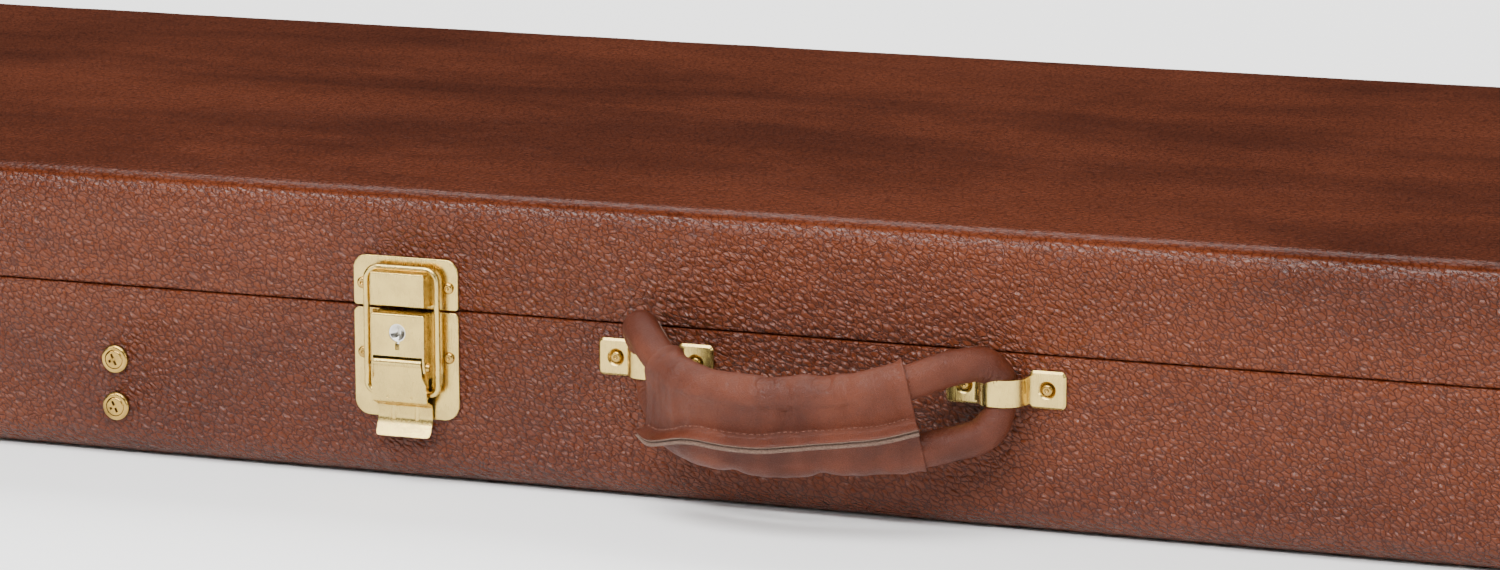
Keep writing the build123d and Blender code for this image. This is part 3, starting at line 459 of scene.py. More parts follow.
def plush():
    """Short old-gold plush: fine nap with painted shade deep in the pile, and painted light and shade in patches
    where the pile lies another way.
    """
    mat, tree, shader = new_material("plush", (0.42, 0.25, 0.09), 0.95)
    place = object_place(tree)
    nap = noise_at(tree, place, 1300, 5, 0.75)
    tufts = noise_at(tree, place, 340, 3)
    # Painted light and shade in patches, where the pile would catch the light another way.
    painted_nap_light = noise_at(tree, object_place(tree, (1, 1.6, 1.6)), 15, 4, 0.6, 0.8)
    bumped(tree, shader, sum_of(tree, (nap, 0.6), (tufts, 0.4)), 1.0 * MM)
    body = mixed(tree, remap(tree, painted_nap_light, 0.32, 0.68), (0.30, 0.165, 0.055), (0.50, 0.31, 0.125))
    # Painted shade deep in the pile, where the nap is low.
    depth = mixed(tree, remap(tree, nap, 0.32, 0.62), (0.55, 0.5, 0.45), (1, 1, 1))
    tree.links.new(mixed(tree, 1.0, body, depth, "MULTIPLY"), shader.inputs["Base Color"])
    shader.inputs["Sheen Weight"].default_value = 0.55
    shader.inputs["Sheen Roughness"].default_value = 0.4
    shader.inputs["Sheen Tint"].default_value = (1.0, 0.82, 0.55, 1)
    shader.inputs["Specular IOR Level"].default_value = 0.15
    return mat


def woven(name, dark, light):
    """Close plain weave for tape and ribbon."""
    mat, tree, shader = new_material(name, light, 0.75)
    place = object_place(tree)
    yarns = {"Vector": place, "Scale": 360.0}
    across = make(tree, "ShaderNodeTexWave", yarns, bands_direction="X").outputs[1]
    along = make(tree, "ShaderNodeTexWave", yarns, bands_direction="Y").outputs[1]
    weave = make(tree, "ShaderNodeMath", {0: across, 1: along}, operation="MULTIPLY").outputs[0]
    # Painted shade where the weave is low, between the yarn crossings.
    tree.links.new(mixed(tree, weave, dark, light), shader.inputs["Base Color"])
    bumped(tree, shader, weave, 0.15 * MM)
    shader.inputs["Sheen Weight"].default_value = 0.2
    return mat


def rubber():
    """Matt dark rubber with a fine moulded texture."""
    mat, tree, shader = new_material("foot_rubber", (0.03, 0.025, 0.022), 0.6)
    place = object_place(tree)
    grain = noise_at(tree, place, 1400, 3)
    scuffs = noise_at(tree, place, 120, 4, 0.7)
    tone = mixed(tree, remap(tree, scuffs, 0.4, 0.75), (0.022, 0.018, 0.016), (0.055, 0.048, 0.044))
    tree.links.new(tone, shader.inputs["Base Color"])
    tree.links.new(remap(tree, scuffs, 0.3, 0.7, 0.5, 0.75), shader.inputs["Roughness"])
    bumped(tree, shader, grain, 0.08 * MM)
    return mat


# ---- covering: one skin for each half, its edges rounded and turned over the rim ----
CORNER_STEPS = 8
LONG_STEPS = 190
SHORT_STEPS = 64


def ring_round_case(inset, z):
    """Points round the plan shape of the case, shrunk by inset."""
    radius = CORNER_R - inset
    reach_x, reach_y = HALF_L - CORNER_R, HALF_W - CORNER_R
    corners = (
        (Vector((-reach_x, -reach_y, 0)), Vector((reach_x, -reach_y, 0)), LONG_STEPS, -90),
        (Vector((reach_x, -reach_y, 0)), Vector((reach_x, reach_y, 0)), SHORT_STEPS, 0),
        (Vector((reach_x, reach_y, 0)), Vector((-reach_x, reach_y, 0)), LONG_STEPS, 90),
        (Vector((-reach_x, reach_y, 0)), Vector((-reach_x, -reach_y, 0)), SHORT_STEPS, 180),
    )
    ring = []
    for start, end, steps, facing in corners:
        outwards = Vector((math.cos(math.radians(facing)), math.sin(math.radians(facing)), 0)) * radius
        for step in range(steps):
            ring.append(start.lerp(end, step / steps) + outwards)
        for step in range(CORNER_STEPS):
            angle = math.radians(facing + 90 * step / CORNER_STEPS)
            ring.append(end + Vector((math.cos(angle), math.sin(angle), 0)) * radius)
    return [Vector((point.x, point.y, z)) for point in ring]


def skin_profile(rim_z, flat_z):
    """(inset, z) pairs from the turned-in edge on the rim, down or up the wall, and over the long edge."""
    up = 1 if flat_z > rim_z else -1
    profile = [(RIM_DEPTH, rim_z), (RIM_DEPTH * 0.6, rim_z), (RIM_DEPTH * 0.3, rim_z)]
    for step in range(5):
        angle = math.radians(90 * step / 4)
        profile.append((RIM_R * (1 - math.sin(angle)), rim_z + up * RIM_R * (1 - math.cos(angle))))
    wall_start, wall_end = rim_z + up * RIM_R, flat_z - up * EDGE_R
    for step in range(1, 7):
        profile.append((0, wall_start + (wall_end - wall_start) * step / 7))
    for step in range(11):
        angle = math.radians(90 * step / 10)
        profile.append((EDGE_R * (1 - math.cos(angle)), wall_end + up * EDGE_R * math.sin(angle)))
    return profile + [(16 * MM, flat_z), (CORNER_R, flat_z)]


def unevenness(point):
    """Slight waviness of glued leathercloth."""
    slow = noise.noise(point * 22)
    quick = noise.noise(point * 61 + Vector((7, 3, 1)))
    return (0.16 * slow + 0.07 * quick) * MM


def make_covering(name, rim_z, flat_z, closed, body, mat, replaced):
    """Skin of one half; closed means that its flat side belongs to the same sheet."""
    rings = [ring_round_case(inset, z) for inset, z in skin_profile(rim_z, flat_z)]
    if not closed:
        rings = rings[:-2]
    count = len(rings[0])
    points = [point for ring in rings for point in ring]
    faces = []
    for i in range(len(rings) - 1):
        for j in range(count):
            k = (j + 1) % count
            faces.append((i * count + j, i * count + k, (i + 1) * count + k, (i + 1) * count + j))
    if closed:
        reach_x, reach_y = HALF_L - CORNER_R, HALF_W - CORNER_R
        start = len(points)
        for i in range(LONG_STEPS + 1):
            for j in range(SHORT_STEPS + 1):
                x = reach_x * (2 * i / LONG_STEPS - 1)
                y = reach_y * (2 * j / SHORT_STEPS - 1)
                points.append(Vector((x, y, flat_z)))
        for i in range(LONG_STEPS):
            for j in range(SHORT_STEPS):
                corner = start + i * (SHORT_STEPS + 1) + j
                faces.append((corner, corner + SHORT_STEPS + 1, corner + SHORT_STEPS + 2, corner + 1))
    obj = new_piece(name, points, faces)
    shape = bmesh.new()
    shape.from_mesh(obj.data)
    bmesh.ops.dissolve_degenerate(shape, dist=1e-6, edges=shape.edges)
    bmesh.ops.recalc_face_normals(shape, faces=shape.faces)
    middle = Vector((0, 0, (rim_z + flat_z) / 2))
    side_face = max(shape.faces, key=lambda face: face.calc_center_median().x)
    if side_face.normal.dot(side_face.calc_center_median() - middle) < 0:
        bmesh.ops.reverse_faces(shape, faces=shape.faces)
    for vert in shape.verts:
        away_from_rim = smoothstep(1.5 * MM, 8 * MM, abs(vert.co.z - rim_z))
        vert.co += vert.normal * (unevenness(vert.co) - COVERING_SINK) * away_from_rim
    shape.to_mesh(obj.data)
    shape.free()
    obj.data.polygons.foreach_set("use_smooth", [True] * len(obj.data.polygons))
    skin = obj.modifiers.new("skin", "SOLIDIFY")
    skin.thickness = COVERING_T
    skin.offset = -1
    apply_modifiers(obj)
    finished(obj, body, "vinyl_outer", mat, replaced)


# ---- handle: rope ring through the brackets, and the folded sleeve round its two strands ----
# Points of the ring from the left bracket over the upper strand to the right bracket, and back along
# the lower strand: along the case, out from its front and up, from the middle of the handle, in mm.
UPPER_ROUTE = (
    (-66.2, 6.0, 0), (-68.3, 8.5, 9.0), (-67.0, 13.0, 14.3), (-60, 21, 10), (-50, 28, 3.5), (-37, 34, 0),
    (-15, 37, -1.5), (4, 35, -0.5), (24.6, 31, 1.5), (38, 25.5, 4.6), (50, 18, 8.8), (60, 11.5, 9.8),
    (65.6, 7.5, 6.0), (66.4, 6.0, 0),
)
LOWER_ROUTE = (
    (-66.2, 6.0, 0), (-65, 7.5, -8), (-59, 12.5, -15.5), (-50, 20, -21), (-37, 25.5, -24), (-15, 27.5, -25.5),
    (4, 25, -24.3), (24.6, 21.5, -23), (38, 18, -21.5), (50, 13.8, -19), (60.5, 10, -15.5), (66, 7, -7),
    (66.4, 6.0, 0),
)
ROPE_R = 6.3 * MM
ROPE_R_IN_STRAP = 5.3 * MM
SLEEVE_SKIN_R = 7.3 * MM        # outer side of the sleeve from the middle of a strand
SLEEVE_T = 0.65 * MM
SLEEVE_FROM, SLEEVE_TO = 3.5, 9.3   # places on the upper route
SLEEVE_ROWS = 150
SLEEVE_COLUMNS = 96
STITCH_COLUMN = 5               # column of the sleeve's sheet that the thread runs along
STITCH_ROWS = 3                 # rows from one stitch to the next


def from_handle(spot):
    """Point in the shared frame for an (along, out, up) spot in mm from the middle of the handle."""
    return Vector((HANDLE.x + spot[0] * MM, -HALF_W - spot[1] * MM, HANDLE.z + spot[2] * MM))


upper_route = [from_handle(spot) for spot in UPPER_ROUTE]
lower_route = [from_handle(spot) for spot in LOWER_ROUTE]


def strand_pair(place):
    """Middle points of the upper and lower strands at a place along the sleeve, whose right end is square."""
    lag = 0.5 * smoothstep(7.0, 9.3, place)
    return curve_point(upper_route, place), curve_point(lower_route, place - 1 - lag)


def route_between(route, start, end, step):
    """Points along a route from one place to another."""
    count = max(2, round(abs(end - start) / step))
    return [curve_point(route, start + (end - start) * i / count) for i in range(count + 1)]


def even_spacing(spots, gap):
    """The same line with its points one gap apart."""
    result = [spots[0]]
    carried = 0.0
    for start, end in zip(spots, spots[1:]):
        length = (end - start).length
        while carried + length >= gap:
            start = start.lerp(end, (gap - carried) / length)
            length = (end - start).length
            carried = 0.0
            result.append(start)
        carried += length
    return result


def make_loop(side, upper_span, lower_span, mat):
    """End of the rope ring on one side, with creases pressed into the inside of its bends."""
    upper = route_between(upper_route, *upper_span, 0.02)
    lower = route_between(lower_route, *lower_span, 0.02)
    gap = 0.5 * MM
    spots = even_spacing(upper + lower[1:], gap)
    apex = min(range(len(spots)), key=lambda i: abs(spots[i].z - HANDLE.z) + max(0, -HALF_W - spots[i].y) * 3)
    seed = 11.0 if side == "left" else 37.0

    def radius_at(index):
        away = abs(index - apex) * gap
        return ROPE_R_IN_STRAP + (ROPE_R - ROPE_R_IN_STRAP) * smoothstep(5 * MM, 13 * MM, away)

    def ripple(index, normal, bend):
        tightness = min(1.0, bend.length * 13 * MM)
        inside = smoothstep(-0.5, 0.8, normal.dot(bend.normalized())) if bend.length > 1 else 0
        along = index * gap / MM
        wander = noise.noise(Vector((along * 0.16, normal.x * 1.3, seed)))
        crease = abs(math.sin(along * 1.35 + 3.2 * wander)) ** 0.6
        near_strap = smoothstep(26 * MM, 9 * MM, abs(index - apex) * gap)
        lump = noise.noise(Vector((along * 0.09, normal.z, seed + 5))) * 0.22 * MM
        return lump + (crease - 1) * 0.95 * MM * inside * tightness * near_strap

    loop = tube(f"rope_loop_{side}", spots, radius_at, 40, ripple)
    finished(loop, None, "handle_leather", mat, f"handle_loop_{side}")
    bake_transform(loop)
    make_loop_seam(side, spots, radius_at)


def make_loop_seam(side, spots, radius_at):
    """Raw butt seam that closes the rope's leather, along the side nearest the case."""
    rows = []
    half_width = 1.5 * MM
    count = len(spots)
    for i in range(2, count - 2, 2):
        tangent = (spots[i + 2] - spots[i - 2]).normalized()
        facing = Vector((1.0 if side == "left" else -1.0, 0.75, 0.0))
        facing = (facing - tangent * facing.dot(tangent)).normalized()
        across = tangent.cross(facing)
        waver = 1 + 0.35 * noise.noise(spots[i] * 420)
        row = []
        for j in range(7):
            share = j / 3 - 1
            angle = share * half_width * waver / ROPE_R
            lift = (0.42 - 0.5 * share * share + 0.25 * noise.noise(spots[i] * 900 + Vector((j, 0, 0)))) * MM
            direction = facing * math.cos(angle) + across * math.sin(angle)
            row.append(spots[i] + direction * (radius_at(i) + max(lift, 0.05 * MM)))
        rows.append(row)
    seam = sheet_solid(f"rope_seam_{side}", rows, 0.5 * MM)
    finished(seam, None, "handle_leather", MATERIALS["raw_hide"])
    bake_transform(seam)


def sleeve_frame(place):
    """Middle, unit vectors outwards and down the sleeve, and half the distance between its strands."""
    upper, lower = strand_pair(place)
    before = sum(strand_pair(place - 0.05), Vector()) / 2
    after = sum(strand_pair(place + 0.05), Vector()) / 2
    along = (after - before).normalized()
    down = (lower - upper).normalized()
    down = (down - along * down.dot(along)).normalized()
    outwards = down.cross(along)
    if outwards.y > 0:
        outwards = -outwards
    return (upper + lower) / 2, outwards, down, (lower - upper).length / 2


def fin_height(share):
    """How far below the sleeve's middle the sewn fin runs, in half strand distances."""
    return 0.95 * (1 - smoothstep(0.0, 0.30, share)) + 0.2 - 0.22 * smoothstep(0.25, 0.75, share)


FIN_REACH = 4.4 * MM
FIN_DROP = 1.6 * MM
# Gathers in the sleeve: share along it, angle round it from the front (90 is the top), depth, width.
GATHERS = (
    (0.40, 62, 1.3, 0.030), (0.475, 82, 2.8, 0.026), (0.545, 55, 1.3, 0.024), (0.655, 84, 2.6, 0.030),
    (0.73, 50, 1.1, 0.024), (0.30, 75, 0.9, 0.045), (0.84, 70, 0.7, 0.026), (0.52, 20, 0.9, 0.04),
    (0.22, 40, 0.9, 0.03), (0.60, 30, 0.8, 0.02), (0.36, 300, 1.2, 0.03), (0.62, 300, 1.4, 0.03),
)


def sleeve_outline(share, half_gap):
    """(outwards, down, angle) points of the sheet across the sleeve, from one fin edge to the other."""
    fin = fin_height(share) * half_gap
    radius = SLEEVE_SKIN_R

    def front(down):
        beyond = max(0.0, abs(down) - half_gap)
        sag = 1.1 * MM * (1 - (down / half_gap) ** 2) if abs(down) < half_gap else 0
        return math.sqrt(max(radius**2 - beyond**2, 0)) - sag

    def fin_side(reach, side):
        """Point on the fin's upper (-1) or lower (1) side, at a share of the way out to its edge."""
        root = fin + side * 0.6 * MM
        spread = 0.34 * MM + 0.40 * MM * reach**2
        return front(root) + FIN_REACH * reach, root + FIN_DROP * reach**1.3 + side * spread, 0

    outline = [fin_side(1 - step / 8, -1) for step in range(8)]
    top_of_fin = fin - 1.9 * MM
    for step in range(14):
        down = top_of_fin + (-half_gap - top_of_fin) * step / 14
        swell = 0.9 * MM * math.sin(math.pi * step / 14)
        outline.append((front(down) + swell * 0.6, down, 40 * step / 14))
    for step in range(19):
        angle = 180 * step / 18
        turn = math.radians(angle)
        outline.append((radius * math.cos(turn), -half_gap - radius * math.sin(turn), angle))
    for step in range(1, 10):
        down = -half_gap + 2 * half_gap * step / 10
        outline.append((-radius + 0.8 * MM * math.sin(math.pi * step / 10), down, 180))
    bottom_turn = 0.0
    if fin + 1.2 * MM > half_gap:
        bottom_turn = math.asin(min(1.0, (fin + 1.2 * MM - half_gap) / radius))
    for step in range(19):
        turn = math.pi + (math.pi - bottom_turn) * step / 18
        outline.append((radius * math.cos(turn), half_gap - radius * math.sin(turn), math.degrees(turn)))
    low = min(half_gap, max(fin + 1.9 * MM, 0))
    for step in range(1, 8):
        down = half_gap + (low - half_gap) * step / 8
        if bottom_turn == 0.0:
            outline.append((front(down), down, 340))
    return outline + [fin_side(step / 8, 1) for step in range(9)]


def make_sleeve(mat, hide):
    """Leather sheet folded round both strands and sewn along a fin, gathered a little on its inner bend."""
    rows = []
    for i in range(SLEEVE_ROWS + 1):
        share = i / SLEEVE_ROWS
        place = SLEEVE_FROM + (SLEEVE_TO - SLEEVE_FROM) * share
        middle, outwards, down, half_gap = sleeve_frame(place)
        row = []
        for reach, drop, angle in resampled(sleeve_outline(share, half_gap), SLEEVE_COLUMNS):
            press = 0.0
            for centre, facing, depth, width in GATHERS:
                turn = abs((angle - facing + 180) % 360 - 180)
                near = math.exp(-(((share - centre) / width) ** 2)) * math.exp(-((turn / 42) ** 2))
                press += depth * near
            wave = noise.noise(Vector((share * 26, angle / 60, 4))) * 0.28
            slow = noise.noise(Vector((share * 9, angle / 90, 9))) * 0.5
            flare = 0.5 * (smoothstep(0.05, 0.0, share) + smoothstep(0.97, 1.0, share))
            move = (slow + wave + flare - press) * MM
            radial = Vector((reach, math.copysign(max(abs(drop) - half_gap, 0), drop), 0)).normalized()
            if angle == 0:
                move *= 0.25
            row.append(middle + outwards * (reach + radial.x * move) + down * (drop + radial.y * move))
        rows.append(row)
    sleeve = sheet_solid("grip_sleeve_leather", rows, SLEEVE_T, 1)
    sleeve.data.materials.append(mat)
    sleeve.data.materials.append(hide)
    finished(sleeve, "handle", "handle_leather", mat, "grip_sleeve")
    return rows


def resampled(outline, count):
    """The same outline with that many evenly spaced points; each keeps the nearest angle."""
    spots = [Vector((reach, drop, 0)) for reach, drop, angle in outline]
    lengths = [0.0]
    for start, end in zip(spots, spots[1:]):
        lengths.append(lengths[-1] + (end - start).length)
    result = []
    index = 0
    for step in range(count):
        target = lengths[-1] * step / (count - 1)
        while index < len(spots) - 2 and lengths[index + 1] < target:
            index += 1
        span = max(lengths[index + 1] - lengths[index], 1e-9)
        share = min(1.0, (target - lengths[index]) / span)
        spot = spots[index].lerp(spots[index + 1], share)
        angle = outline[index][2]
        turn = outline[index + 1][2] - angle
        if abs(turn) < 90:
            angle += turn * share
        result.append((spot.x, spot.y, angle))
    return result


def make_strands(mat):
    """The two rope strands inside the sleeve."""
    overlap = 0.25
    for name, route, shift in (("upper", upper_route, 0), ("lower", lower_route, 1)):
        spots = route_between(route, SLEEVE_FROM - shift + overlap, SLEEVE_TO - shift - overlap, 0.05)
        strand = tube(f"rope_strand_{name}", spots, lambda index: ROPE_R - 0.15 * MM, 28)
        finished(strand, "handle", "handle_leather", mat, "grip_core")


def make_stitches(rows, mat):
    """Row of thread along the upper side of the fin."""
    points, faces = [], []
    column = STITCH_COLUMN
    for i in range(3, len(rows) - 4, STITCH_ROWS):
        start, end = rows[i][column], rows[i + STITCH_ROWS - 1][column]
        lift = (rows[i][column + 2] - rows[i][column - 2]).cross(end - start).normalized()
        if lift.z < 0:
            lift = -lift
        axis = end - start
        side = axis.cross(lift).normalized()
        base = len(points)
        rings, sides = 6, 8
        for ring in range(rings + 1):
            share = ring / rings
            thick = 0.24 * MM * math.sqrt(max(1 - (2 * share - 1) ** 4, 0.02))
            centre = start.lerp(end, 0.05 + 0.9 * share) + lift * (0.12 * MM * math.sin(math.pi * share))
            for j in range(sides):
                turn = 2 * math.pi * j / sides
                points.append(centre + (side * math.cos(turn) + lift * math.sin(turn)) * thick)
        for ring in range(rings):
            for j in range(sides):
                k = (j + 1) % sides
                here, there = base + ring * sides, base + (ring + 1) * sides
                faces.append((here + j, here + k, there + k, there + j))
        faces.append(tuple(base + j for j in range(sides)))
        faces.append(tuple(base + rings * sides + j for j in reversed(range(sides))))
    stitches = new_piece("sleeve_stitches", points, faces)
    finished(stitches, "handle", "handle_leather", mat)


def make_handle(leather, hide, sewing):
    """Both rope loops, the strands between them, the sleeve and its stitches."""
    inside = 0.6
    last_upper, last_lower = len(upper_route) - 1, len(lower_route) - 1
    make_loop("left", (SLEEVE_FROM + inside, 0), (0, SLEEVE_FROM - 1 + inside), leather)
    make_loop("right", (SLEEVE_TO - inside, last_upper), (last_lower, SLEEVE_TO - 1 - inside), leather)
    make_strands(leather)
    rows = make_sleeve(leather, hide)
    make_stitches(rows, sewing)


# ---- padding: plush over foam, puffed out by a short cloth simulation ----
def axis_stops(low, high, edge, cell):
    """Places along one axis of a rounded block: close together near its ends, then evenly spaced."""
    inner = max(2, round((high - low - 2 * edge) / cell))
    near = [low, low + 0.3 * edge, low + 0.65 * edge]
    middle = [low + edge + (high - low - 2 * edge) * i / inner for i in range(inner + 1)]
    return near + middle + [high - 0.65 * edge, high - 0.3 * edge, high]


def rounded_block(name, low, high, edge, cell):
    """Closed block with rounded edges and an even grid on every side."""
    stops = [axis_stops(low[axis], high[axis], edge, cell) for axis in range(3)]
    last = [len(line) - 1 for line in stops]
    inner_low = Vector([low[axis] + edge for axis in range(3)])
    inner_high = Vector([high[axis] - edge for axis in range(3)])
    points, index_of, faces = [], {}, []

    def corner(key):
        if key not in index_of:
            flat = Vector([stops[axis][key[axis]] for axis in range(3)])
            core = Vector([min(max(flat[axis], inner_low[axis]), inner_high[axis]) for axis in range(3)])
            index_of[key] = len(points)
            points.append(core + (flat - core).normalized() * edge)
        return index_of[key]

    for axis in range(3):
        first, second = [other for other in range(3) if other != axis]
        for end in (0, last[axis]):
            for i in range(last[first]):
                for j in range(last[second]):
                    quad = []
                    for di, dj in ((0, 0), (1, 0), (1, 1), (0, 1)):
                        key = [0, 0, 0]
                        key[axis], key[first], key[second] = end, i + di, j + dj
                        quad.append(corner(tuple(key)))
                    faces.append(tuple(quad))
    return new_piece(name, points, faces)


def from_cad(name, node, voxel):
    """Copy of a CAD soft solid with an even, slightly softened surface."""
    obj = bpy.data.objects.new(name, nodes[node].data.copy())
    bpy.context.scene.collection.objects.link(obj)
    obj.data.materials.clear()
    remesh = obj.modifiers.new("even", "REMESH")
    remesh.mode = "VOXEL"
    remesh.voxel_size = voxel
    soften = obj.modifiers.new("soften", "SMOOTH")
    soften.iterations = 4
    apply_modifiers(obj)
    obj.data.polygons.foreach_set("use_smooth", [True] * len(obj.data.polygons))
    return obj


PUFF_FRAMES = 14


def puff(obj, pressure, cap, held):
    """Swell the piece as foam under cloth does; points for which held(point) is true stay where they are."""
    start = [vert.co.copy() for vert in obj.data.vertices]
    group = obj.vertex_groups.new(name="held")
    group.add([i for i, point in enumerate(start) if held(point)], 1.0, "REPLACE")
    cloth = obj.modifiers.new("cloth", "CLOTH")
    cloth.settings.quality = 4
    cloth.settings.mass = 0.3
    cloth.settings.tension_stiffness = 12
    cloth.settings.compression_stiffness = 12
    cloth.settings.bending_stiffness = 0.8
    cloth.settings.vertex_group_mass = "held"
    cloth.settings.use_pressure = True
    cloth.settings.uniform_pressure_force = pressure
    cloth.settings.effector_weights.gravity = 0
    cloth.collision_settings.use_collision = False
    cloth.point_cache.frame_start = 1
    cloth.point_cache.frame_end = PUFF_FRAMES
    scene = bpy.context.scene
    for number in range(1, PUFF_FRAMES + 1):
        scene.frame_set(number)
    apply_modifiers(obj)
    for vert, before in zip(obj.data.vertices, start):
        move = vert.co - before
        if move.length > cap:
            vert.co = before + move * (cap / move.length)
    obj.data.polygons.foreach_set("use_smooth", [True] * len(obj.data.polygons))
    scene.frame_set(1)


def nestle(obj, depth, scale, seed):
    """Small hollows and swells left by handling."""
    for vert in obj.data.vertices:
        swell = noise.noise(vert.co * scale + Vector((seed, seed, seed)))
        vert.co += vert.normal * swell * depth


def make_pad(
    name, low, high, body, mat, replaced, edge=2.2 * MM, cell=9 * MM, down=Vector((0, 0, -1)),
):
    """Padded block held on its down side, which rests on a board."""
    shrink = 0.7 * MM
    low, high = Vector(low), Vector(high)
    for axis in range(3):
        if down[axis] <= 0:
            high[axis] -= shrink
        if down[axis] >= 0:
            low[axis] += shrink
    pad = rounded_block(name, low, high, edge, cell)
    floor = max(down.dot(low), down.dot(high))
    puff(pad, 2.5, 1.2 * MM, lambda point: down.dot(point) > floor - 0.6 * MM)
    nestle(pad, 0.35 * MM, 24, len(name))
    finished(pad, body, "plush", mat, *replaced)


def make_long_strips(prefix, low, high, run, thick, edge, body, mat, node):
    """Strips of wall lining along the front and rear boards, between the two ends of the run."""
    for side, y, away in (("front", low.y, -1), ("rear", high.y - thick, 1)):
        start, end = (run[0], y, low.z), (run[1], y + thick, high.z)
        make_pad(f"{prefix}_{side}", start, end, body, mat, [node], edge=edge, down=Vector((0, away, 0)))


def make_base_padding(mat):
    """Floor, wall, neck and support pads of the base, round the neck partition."""
    floor_low, floor_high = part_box("base_floor_pad")
    wall_low, wall_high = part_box("base_wall_lining")
    board_low, board_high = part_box("neck_partition")
    thick = 5 * MM
    bays = {"head": (floor_low.x, board_low.x), "body": (board_high.x, floor_high.x)}
    for bay, (start, end) in bays.items():
        low = (start, floor_low.y, floor_low.z)
        make_pad(f"floor_pad_{bay}", low, (end, floor_high.y, floor_high.z), "base", mat, ["base_floor_pad"])
        wall_start, wall_end = max(start, -HALF_L + CORNER_R), min(end, HALF_L - CORNER_R)
        run = (wall_start, wall_end)
        make_long_strips(
            f"wall_pad_{bay}", wall_low, wall_high, run, thick, 1.8 * MM, "base", mat, "base_wall_lining",
        )
        x, away = (wall_low.x, -1) if bay == "head" else (wall_high.x - thick, 1)
        low = (x, wall_low.y + thick, wall_low.z)
        high = (x + thick, wall_high.y - thick, wall_high.z)
        make_pad(
            f"wall_pad_{bay}_end", low, high,
            "base", mat, ["base_wall_lining"], edge=1.8 * MM, down=Vector((away, 0, 0)),
        )
    low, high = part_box("neck_rest_pad")
    make_pad("neck_pad", low, high, "base", mat, ["neck_rest_pad"], edge=2.6 * MM, cell=4 * MM)
    low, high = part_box("rear_support_pad")
    make_pad("support_pad", low, high, "base", mat, ["rear_support_pad"], edge=5 * MM, cell=8 * MM)
    bouts = from_cad("bout_pads_plush", "bout_pads", 3.6 * MM)
    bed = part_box("bout_pads")[0].z
    puff(bouts, 2.0, 1.0 * MM, lambda point: point.z < bed + 3 * MM)
    nestle(bouts, 0.3 * MM, 24, 3)
    finished(bouts, "base", "plush", mat, "bout_pads")


def make_plush_boards(mat):
    """Boards wrapped in plush: the neck partition and the walls of the compartment."""
    boards = {"partition_plush": "neck_partition", "compartment_plush": "compartment_walls"}
    for name, node in boards.items():
        board = from_cad(name, node, 2 * MM)
        nestle(board, 0.15 * MM, 40, 5)
        finished(board, "base", "plush", mat, node)


def make_lid_padding(mat):
    """Thick pad under the lid panel and thin strips on the lid's walls."""
    low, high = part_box("lid_pad")
    up = Vector((0, 0, 1))
    make_pad(
        "lid_pad_plush", low, high, "lid", mat, ["lid_pad"], edge=4 * MM, cell=10 * MM, down=up,
    )
    low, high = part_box("lid_wall_lining")
    thick = 4 * MM
    end_y = HALF_W - CORNER_R
    end_x = HALF_L - CORNER_R
    run = (-end_x, end_x)
    make_long_strips("lid_strip", low, high, run, thick, 1.6 * MM, "lid", mat, "lid_wall_lining")
    for side, x, away in (("left", low.x, -1), ("right", high.x - thick, 1)):
        make_pad(
            f"lid_strip_{side}", (x, -end_y, low.z), (x + thick, end_y, high.z),
            "lid", mat, ["lid_wall_lining"], edge=1.6 * MM, down=Vector((away, 0, 0)),
        )


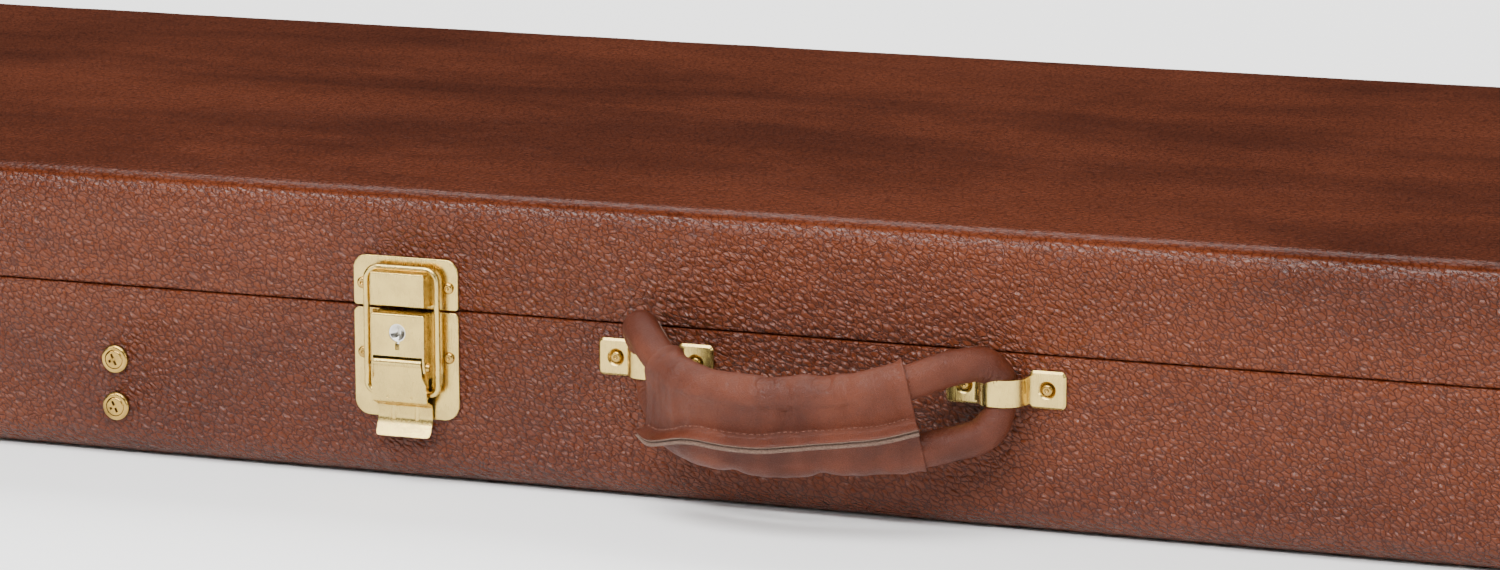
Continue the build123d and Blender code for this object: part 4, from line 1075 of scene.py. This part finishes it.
def make_compartment_lid(mat, tape_mat, ribbon_mat):
    """Plush-covered lid of the compartment with its cloth hinge and ribbon tab."""
    low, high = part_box("compartment_lid")
    lidlet = rounded_block("compartment_lid_plush", low, high, 1.9 * MM, 5 * MM)
    nestle(lidlet, 0.15 * MM, 40, 8)
    finished(lidlet, "compartment_lid", "plush", mat, "compartment_lid")

    low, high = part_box("compartment_hinge_tape")
    bend = 0.7 * MM
    profile = [(low.y, high.z - share * (high.z - low.z - bend)) for share in (0, 0.25, 0.5, 0.75, 1)]
    for step in range(1, 5):
        angle = math.radians(90 * step / 4)
        profile.append((low.y + bend * (1 - math.cos(angle)), low.z + bend * (1 - math.sin(angle))))
    flat_run = high.y - low.y - bend
    profile += [(low.y + bend + share * flat_run, low.z) for share in (0.1, 0.2, 0.35, 0.55, 0.8, 1)]
    rows = []
    for i in range(61):
        x = low.x + (high.x - low.x) * i / 60
        fray = 0.12 * MM * noise.noise(Vector((x * 300, 0, 0)))
        rows.append([Vector((x, y + fray, z + 0.45 * MM)) for y, z in profile])
    tape = sheet_solid("hinge_tape_cloth", rows, 0.4 * MM)
    finished(tape, None, "ribbon", tape_mat, "compartment_hinge_tape")
    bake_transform(tape)

    low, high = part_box("compartment_pull_tab")
    middle = (low.x + high.x) / 2
    half = (high.x - low.x) / 2
    rows = []
    for i in range(29):
        share = i / 28
        y = low.y + (high.y - low.y) * share
        rounding = max(0.0, share - 0.72) / 0.28
        width = half * math.sqrt(max(1 - rounding**2.4 * 0.86, 0.02))
        arch = 0.35 * MM * math.sin(math.pi * share)
        rows.append([Vector((middle + width * (j / 6 - 1), y, low.z + 0.8 * MM + arch)) for j in range(13)])
    tab = sheet_solid("pull_tab_ribbon", rows, 0.7 * MM)
    finished(tab, "compartment_lid", "ribbon", ribbon_mat, "compartment_pull_tab")


# ---- put it together ----
make_camera()
make_studio()
make_floor()

PALE = (0.66, 0.48, 0.15)
PALE_DULL = (0.58, 0.42, 0.14)
GOLD = (0.47, 0.30, 0.08)
GOLD_DULL = (0.30, 0.18, 0.045)
MATERIALS = {
    "vinyl_outer": leathercloth(),
    "handle_leather": smooth_leather(),
    "raw_hide": raw_hide(),
    "thread": thread(),
    "plywood": plywood(),
    "satin_brass": brass("satin_brass", PALE, PALE_DULL, 0.25, 0.02 * MM),
    "bright_brass": brass("bright_brass", GOLD, GOLD_DULL, 0.22, 0.015 * MM),
    "lock_steel": brass("lock_steel", (0.74, 0.72, 0.66), (0.6, 0.58, 0.52), 0.16, 0.01 * MM),
    "plush": plush(),
    "tape": woven("tape_cloth", (0.16, 0.08, 0.03), (0.34, 0.2, 0.08)),
    "ribbon": woven("ribbon_cloth", (0.12, 0.045, 0.02), (0.24, 0.1, 0.05)),
    "foot_rubber": rubber(),
}
for subpart in frame["record"]["subparts"]:
    cad = nodes[subpart["node"]]
    cad.data.materials.clear()
    cad.data.materials.append(MATERIALS[subpart["material_slot"]])

cloth = MATERIALS["vinyl_outer"]
make_covering("lid_leathercloth", PART_Z + RIM_GAP, HEIGHT, True, "lid", cloth, "lid_covering")
make_covering("base_leathercloth", PART_Z - RIM_GAP, 0.0, False, "base", cloth, "base_covering")
make_handle(MATERIALS["handle_leather"], MATERIALS["raw_hide"], MATERIALS["thread"])
make_base_padding(MATERIALS["plush"])
make_plush_boards(MATERIALS["plush"])
make_lid_padding(MATERIALS["plush"])
make_compartment_lid(MATERIALS["plush"], MATERIALS["tape"], MATERIALS["ribbon"])
